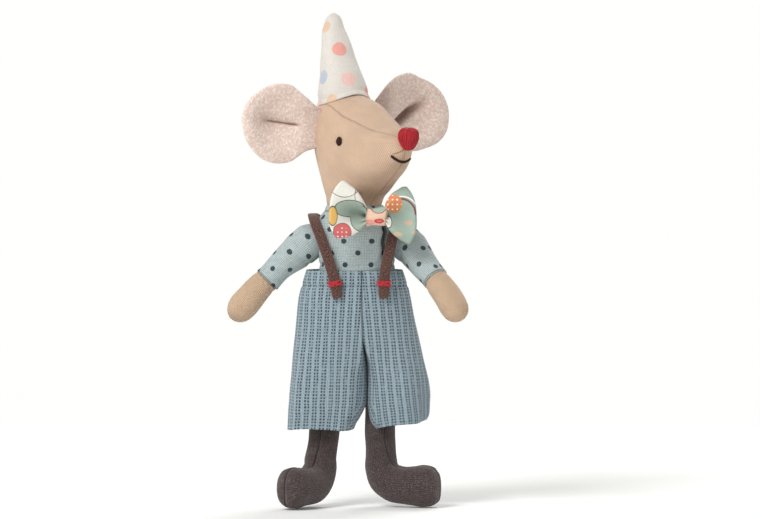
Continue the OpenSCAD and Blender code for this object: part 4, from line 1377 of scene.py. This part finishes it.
cream_print = bow_print(
    "bow_cream_cotton",
    CREAM,
    [
        ("ring", (-4.3, 118.5), (6.2, 6.2, 0.16), INK), ("ring", (8.6, 112.6), (9.2, 9.2, 0.16), INK),
        *lined((-2.5, 108.2), (5.4, 3.0), MINT, 0.17), *lined((1.4, 104.6), (3.6, 4.4), MINT, 0.17),
        ("blob", (0.6, 106.6), (3.4, 2.6), MINT), *lined((-8.6, 105.6), (1.7, 3.4), YELLOW, 0.15),
        *lined((-5.2, 99.8), (3.2, 3.2), CORAL, 0.15), ("dots", (-5.2, 99.2), (2.6, 2.4, 1.5, 0.3), WHITE),
    ],
)
mint_print = bow_print(
    "bow_mint_cotton",
    MINT,
    [
        ("ring", (15.8, 106.0), (5.2, 5.6, 0.42), MAROON), ("ring", (16.1, 106.2), (5.9, 6.3, 0.26), WHITE),
        ("blob", (14.6, 103.6), (5.6, 5.0), MINT), ("blob", (17.6, 103.0), (4.6, 4.4), MINT),
        ("blob", (13.2, 109.9), (3.1, 3.4), ORANGE), ("dots", (13.2, 109.9), (3.0, 3.3, 1.7, 0.36), WHITE),
        ("blob", (18.5, 103.0), (1.5, 0.9), srgb(206, 172, 152)),
        ("blob", (14.6, 99.0), (1.8, 0.8), srgb(209, 182, 152)),
        ("blob", (20.6, 99.6), (0.9, 0.7), srgb(206, 176, 156)), *lined((11.3, 103.3), (1.2, 2.1), CREAM),
    ],
)
peach_print = bow_print(
    "bow_peach_cotton",
    PEACH,
    [
        ("blob", (8.0, 103.7), (1.9, 0.9), CORAL),
        ("ring", (8.0, 103.7), (1.3, 0.62, 0.17), srgb(158, 62, 56)),
        ("blob", (4.6, 103.3), (1.7, 0.9), srgb(222, 150, 138)),
        ("ring", (7.8, 108.6), (2.7, 2.1, 0.17), INK), ("blob", (7.8, 108.6), (2.5, 1.9), MINT),
    ],
)
for side, cloth, slot in ((1, mint_print, "bow_mint_cotton"), (-1, cream_print, "bow_cream_cotton")):
    declare(make_wing(side, cloth), slot, "neck", f"bow_{NAMES[side]}_loop", fill=0.3)
declare(make_knot(peach_print), "bow_peach_cotton", "neck", "bow_knot")

fluff = wadding()
for node in ("neck_wadding", "left_shoulder_wadding", "right_shoulder_wadding"):
    mesh = frame["nodes"][node].data
    mesh.materials.clear()
    mesh.materials.append(fluff)

# ---------------------------------------------------------------- floor, light and camera


def area_light(name, at, aim, size, power_w):
    lamp = bpy.data.lights.new(name, "AREA")
    lamp.shape = "DISK"
    lamp.size, lamp.energy = size, power_w
    obj = place(name, lamp)
    obj.location = at
    obj.rotation_euler = (Vector(aim) - Vector(at)).to_track_quat("-Z", "Y").to_euler()


def make_stage():
    floor = bpy.data.meshes.new("floor")
    radius, corners = 0.45, 96
    rim = [(radius * math.cos(t), radius * math.sin(t), 0) for t in circle(corners)]
    floor.from_pydata(rim, [], [list(range(corners))])
    paper = bpy.data.materials.new("floor_paper")
    paper.use_nodes = True
    shader = paper.node_tree.nodes["Principled BSDF"]
    shader.inputs["Base Color"].default_value = (0.9, 0.9, 0.885, 1)
    shader.inputs["Roughness"].default_value = 0.9
    floor.materials.append(paper)
    place("floor", floor)
    # A studio that is white at the level of the doll and dimmer overhead.
    world = bpy.data.worlds.new("studio")
    world.use_nodes = True
    tree = world.node_tree
    way = tree.nodes.new("ShaderNodeTexCoord")
    parts = tree.nodes.new("ShaderNodeSeparateXYZ")
    fade = tree.nodes.new("ShaderNodeMapRange")
    fade.interpolation_type = "SMOOTHSTEP"
    tree.links.new(way.outputs["Generated"], parts.inputs[0])
    tree.links.new(parts.outputs["Z"], fade.inputs[0])
    for value, socket in zip((0.1, 0.5, 1.0, 0.5), fade.inputs[1:5]):
        socket.default_value = value
    sky = tree.nodes["Background"]
    sky.inputs[0].default_value = (1.0, 1.0, 0.982, 1)
    tree.links.new(fade.outputs[0], sky.inputs[1])
    bpy.context.scene.world = world


def make_camera():
    """A long lens straight in front, a little above the middle of the doll."""
    camera = bpy.data.cameras.new("camera")
    camera.type = "PERSP"
    away, lens_wide = 1.8, 0.2744
    camera.sensor_width = 36
    camera.lens = 36 * away / lens_wide
    camera.clip_start, camera.clip_end = 0.05, 20
    obj = place("camera", camera)
    rise = math.radians(2)
    aim = in_frame([8.3, 0, 89.3])
    obj.location = (aim[0], aim[1] - away * math.cos(rise), aim[2] + away * math.sin(rise))
    obj.rotation_euler = (math.pi / 2 - rise, 0, 0)
    bpy.context.scene.camera = obj


make_stage()
area_light("key", (-0.5, -0.65, 0.85), (0, 0, 0.1), 0.4, 8.0)
area_light("back", (0.35, 0.75, 0.8), (0, 0.25, 0.0), 0.5, 5.0)
make_camera()
bpy.context.scene.view_settings.view_transform = "Standard"
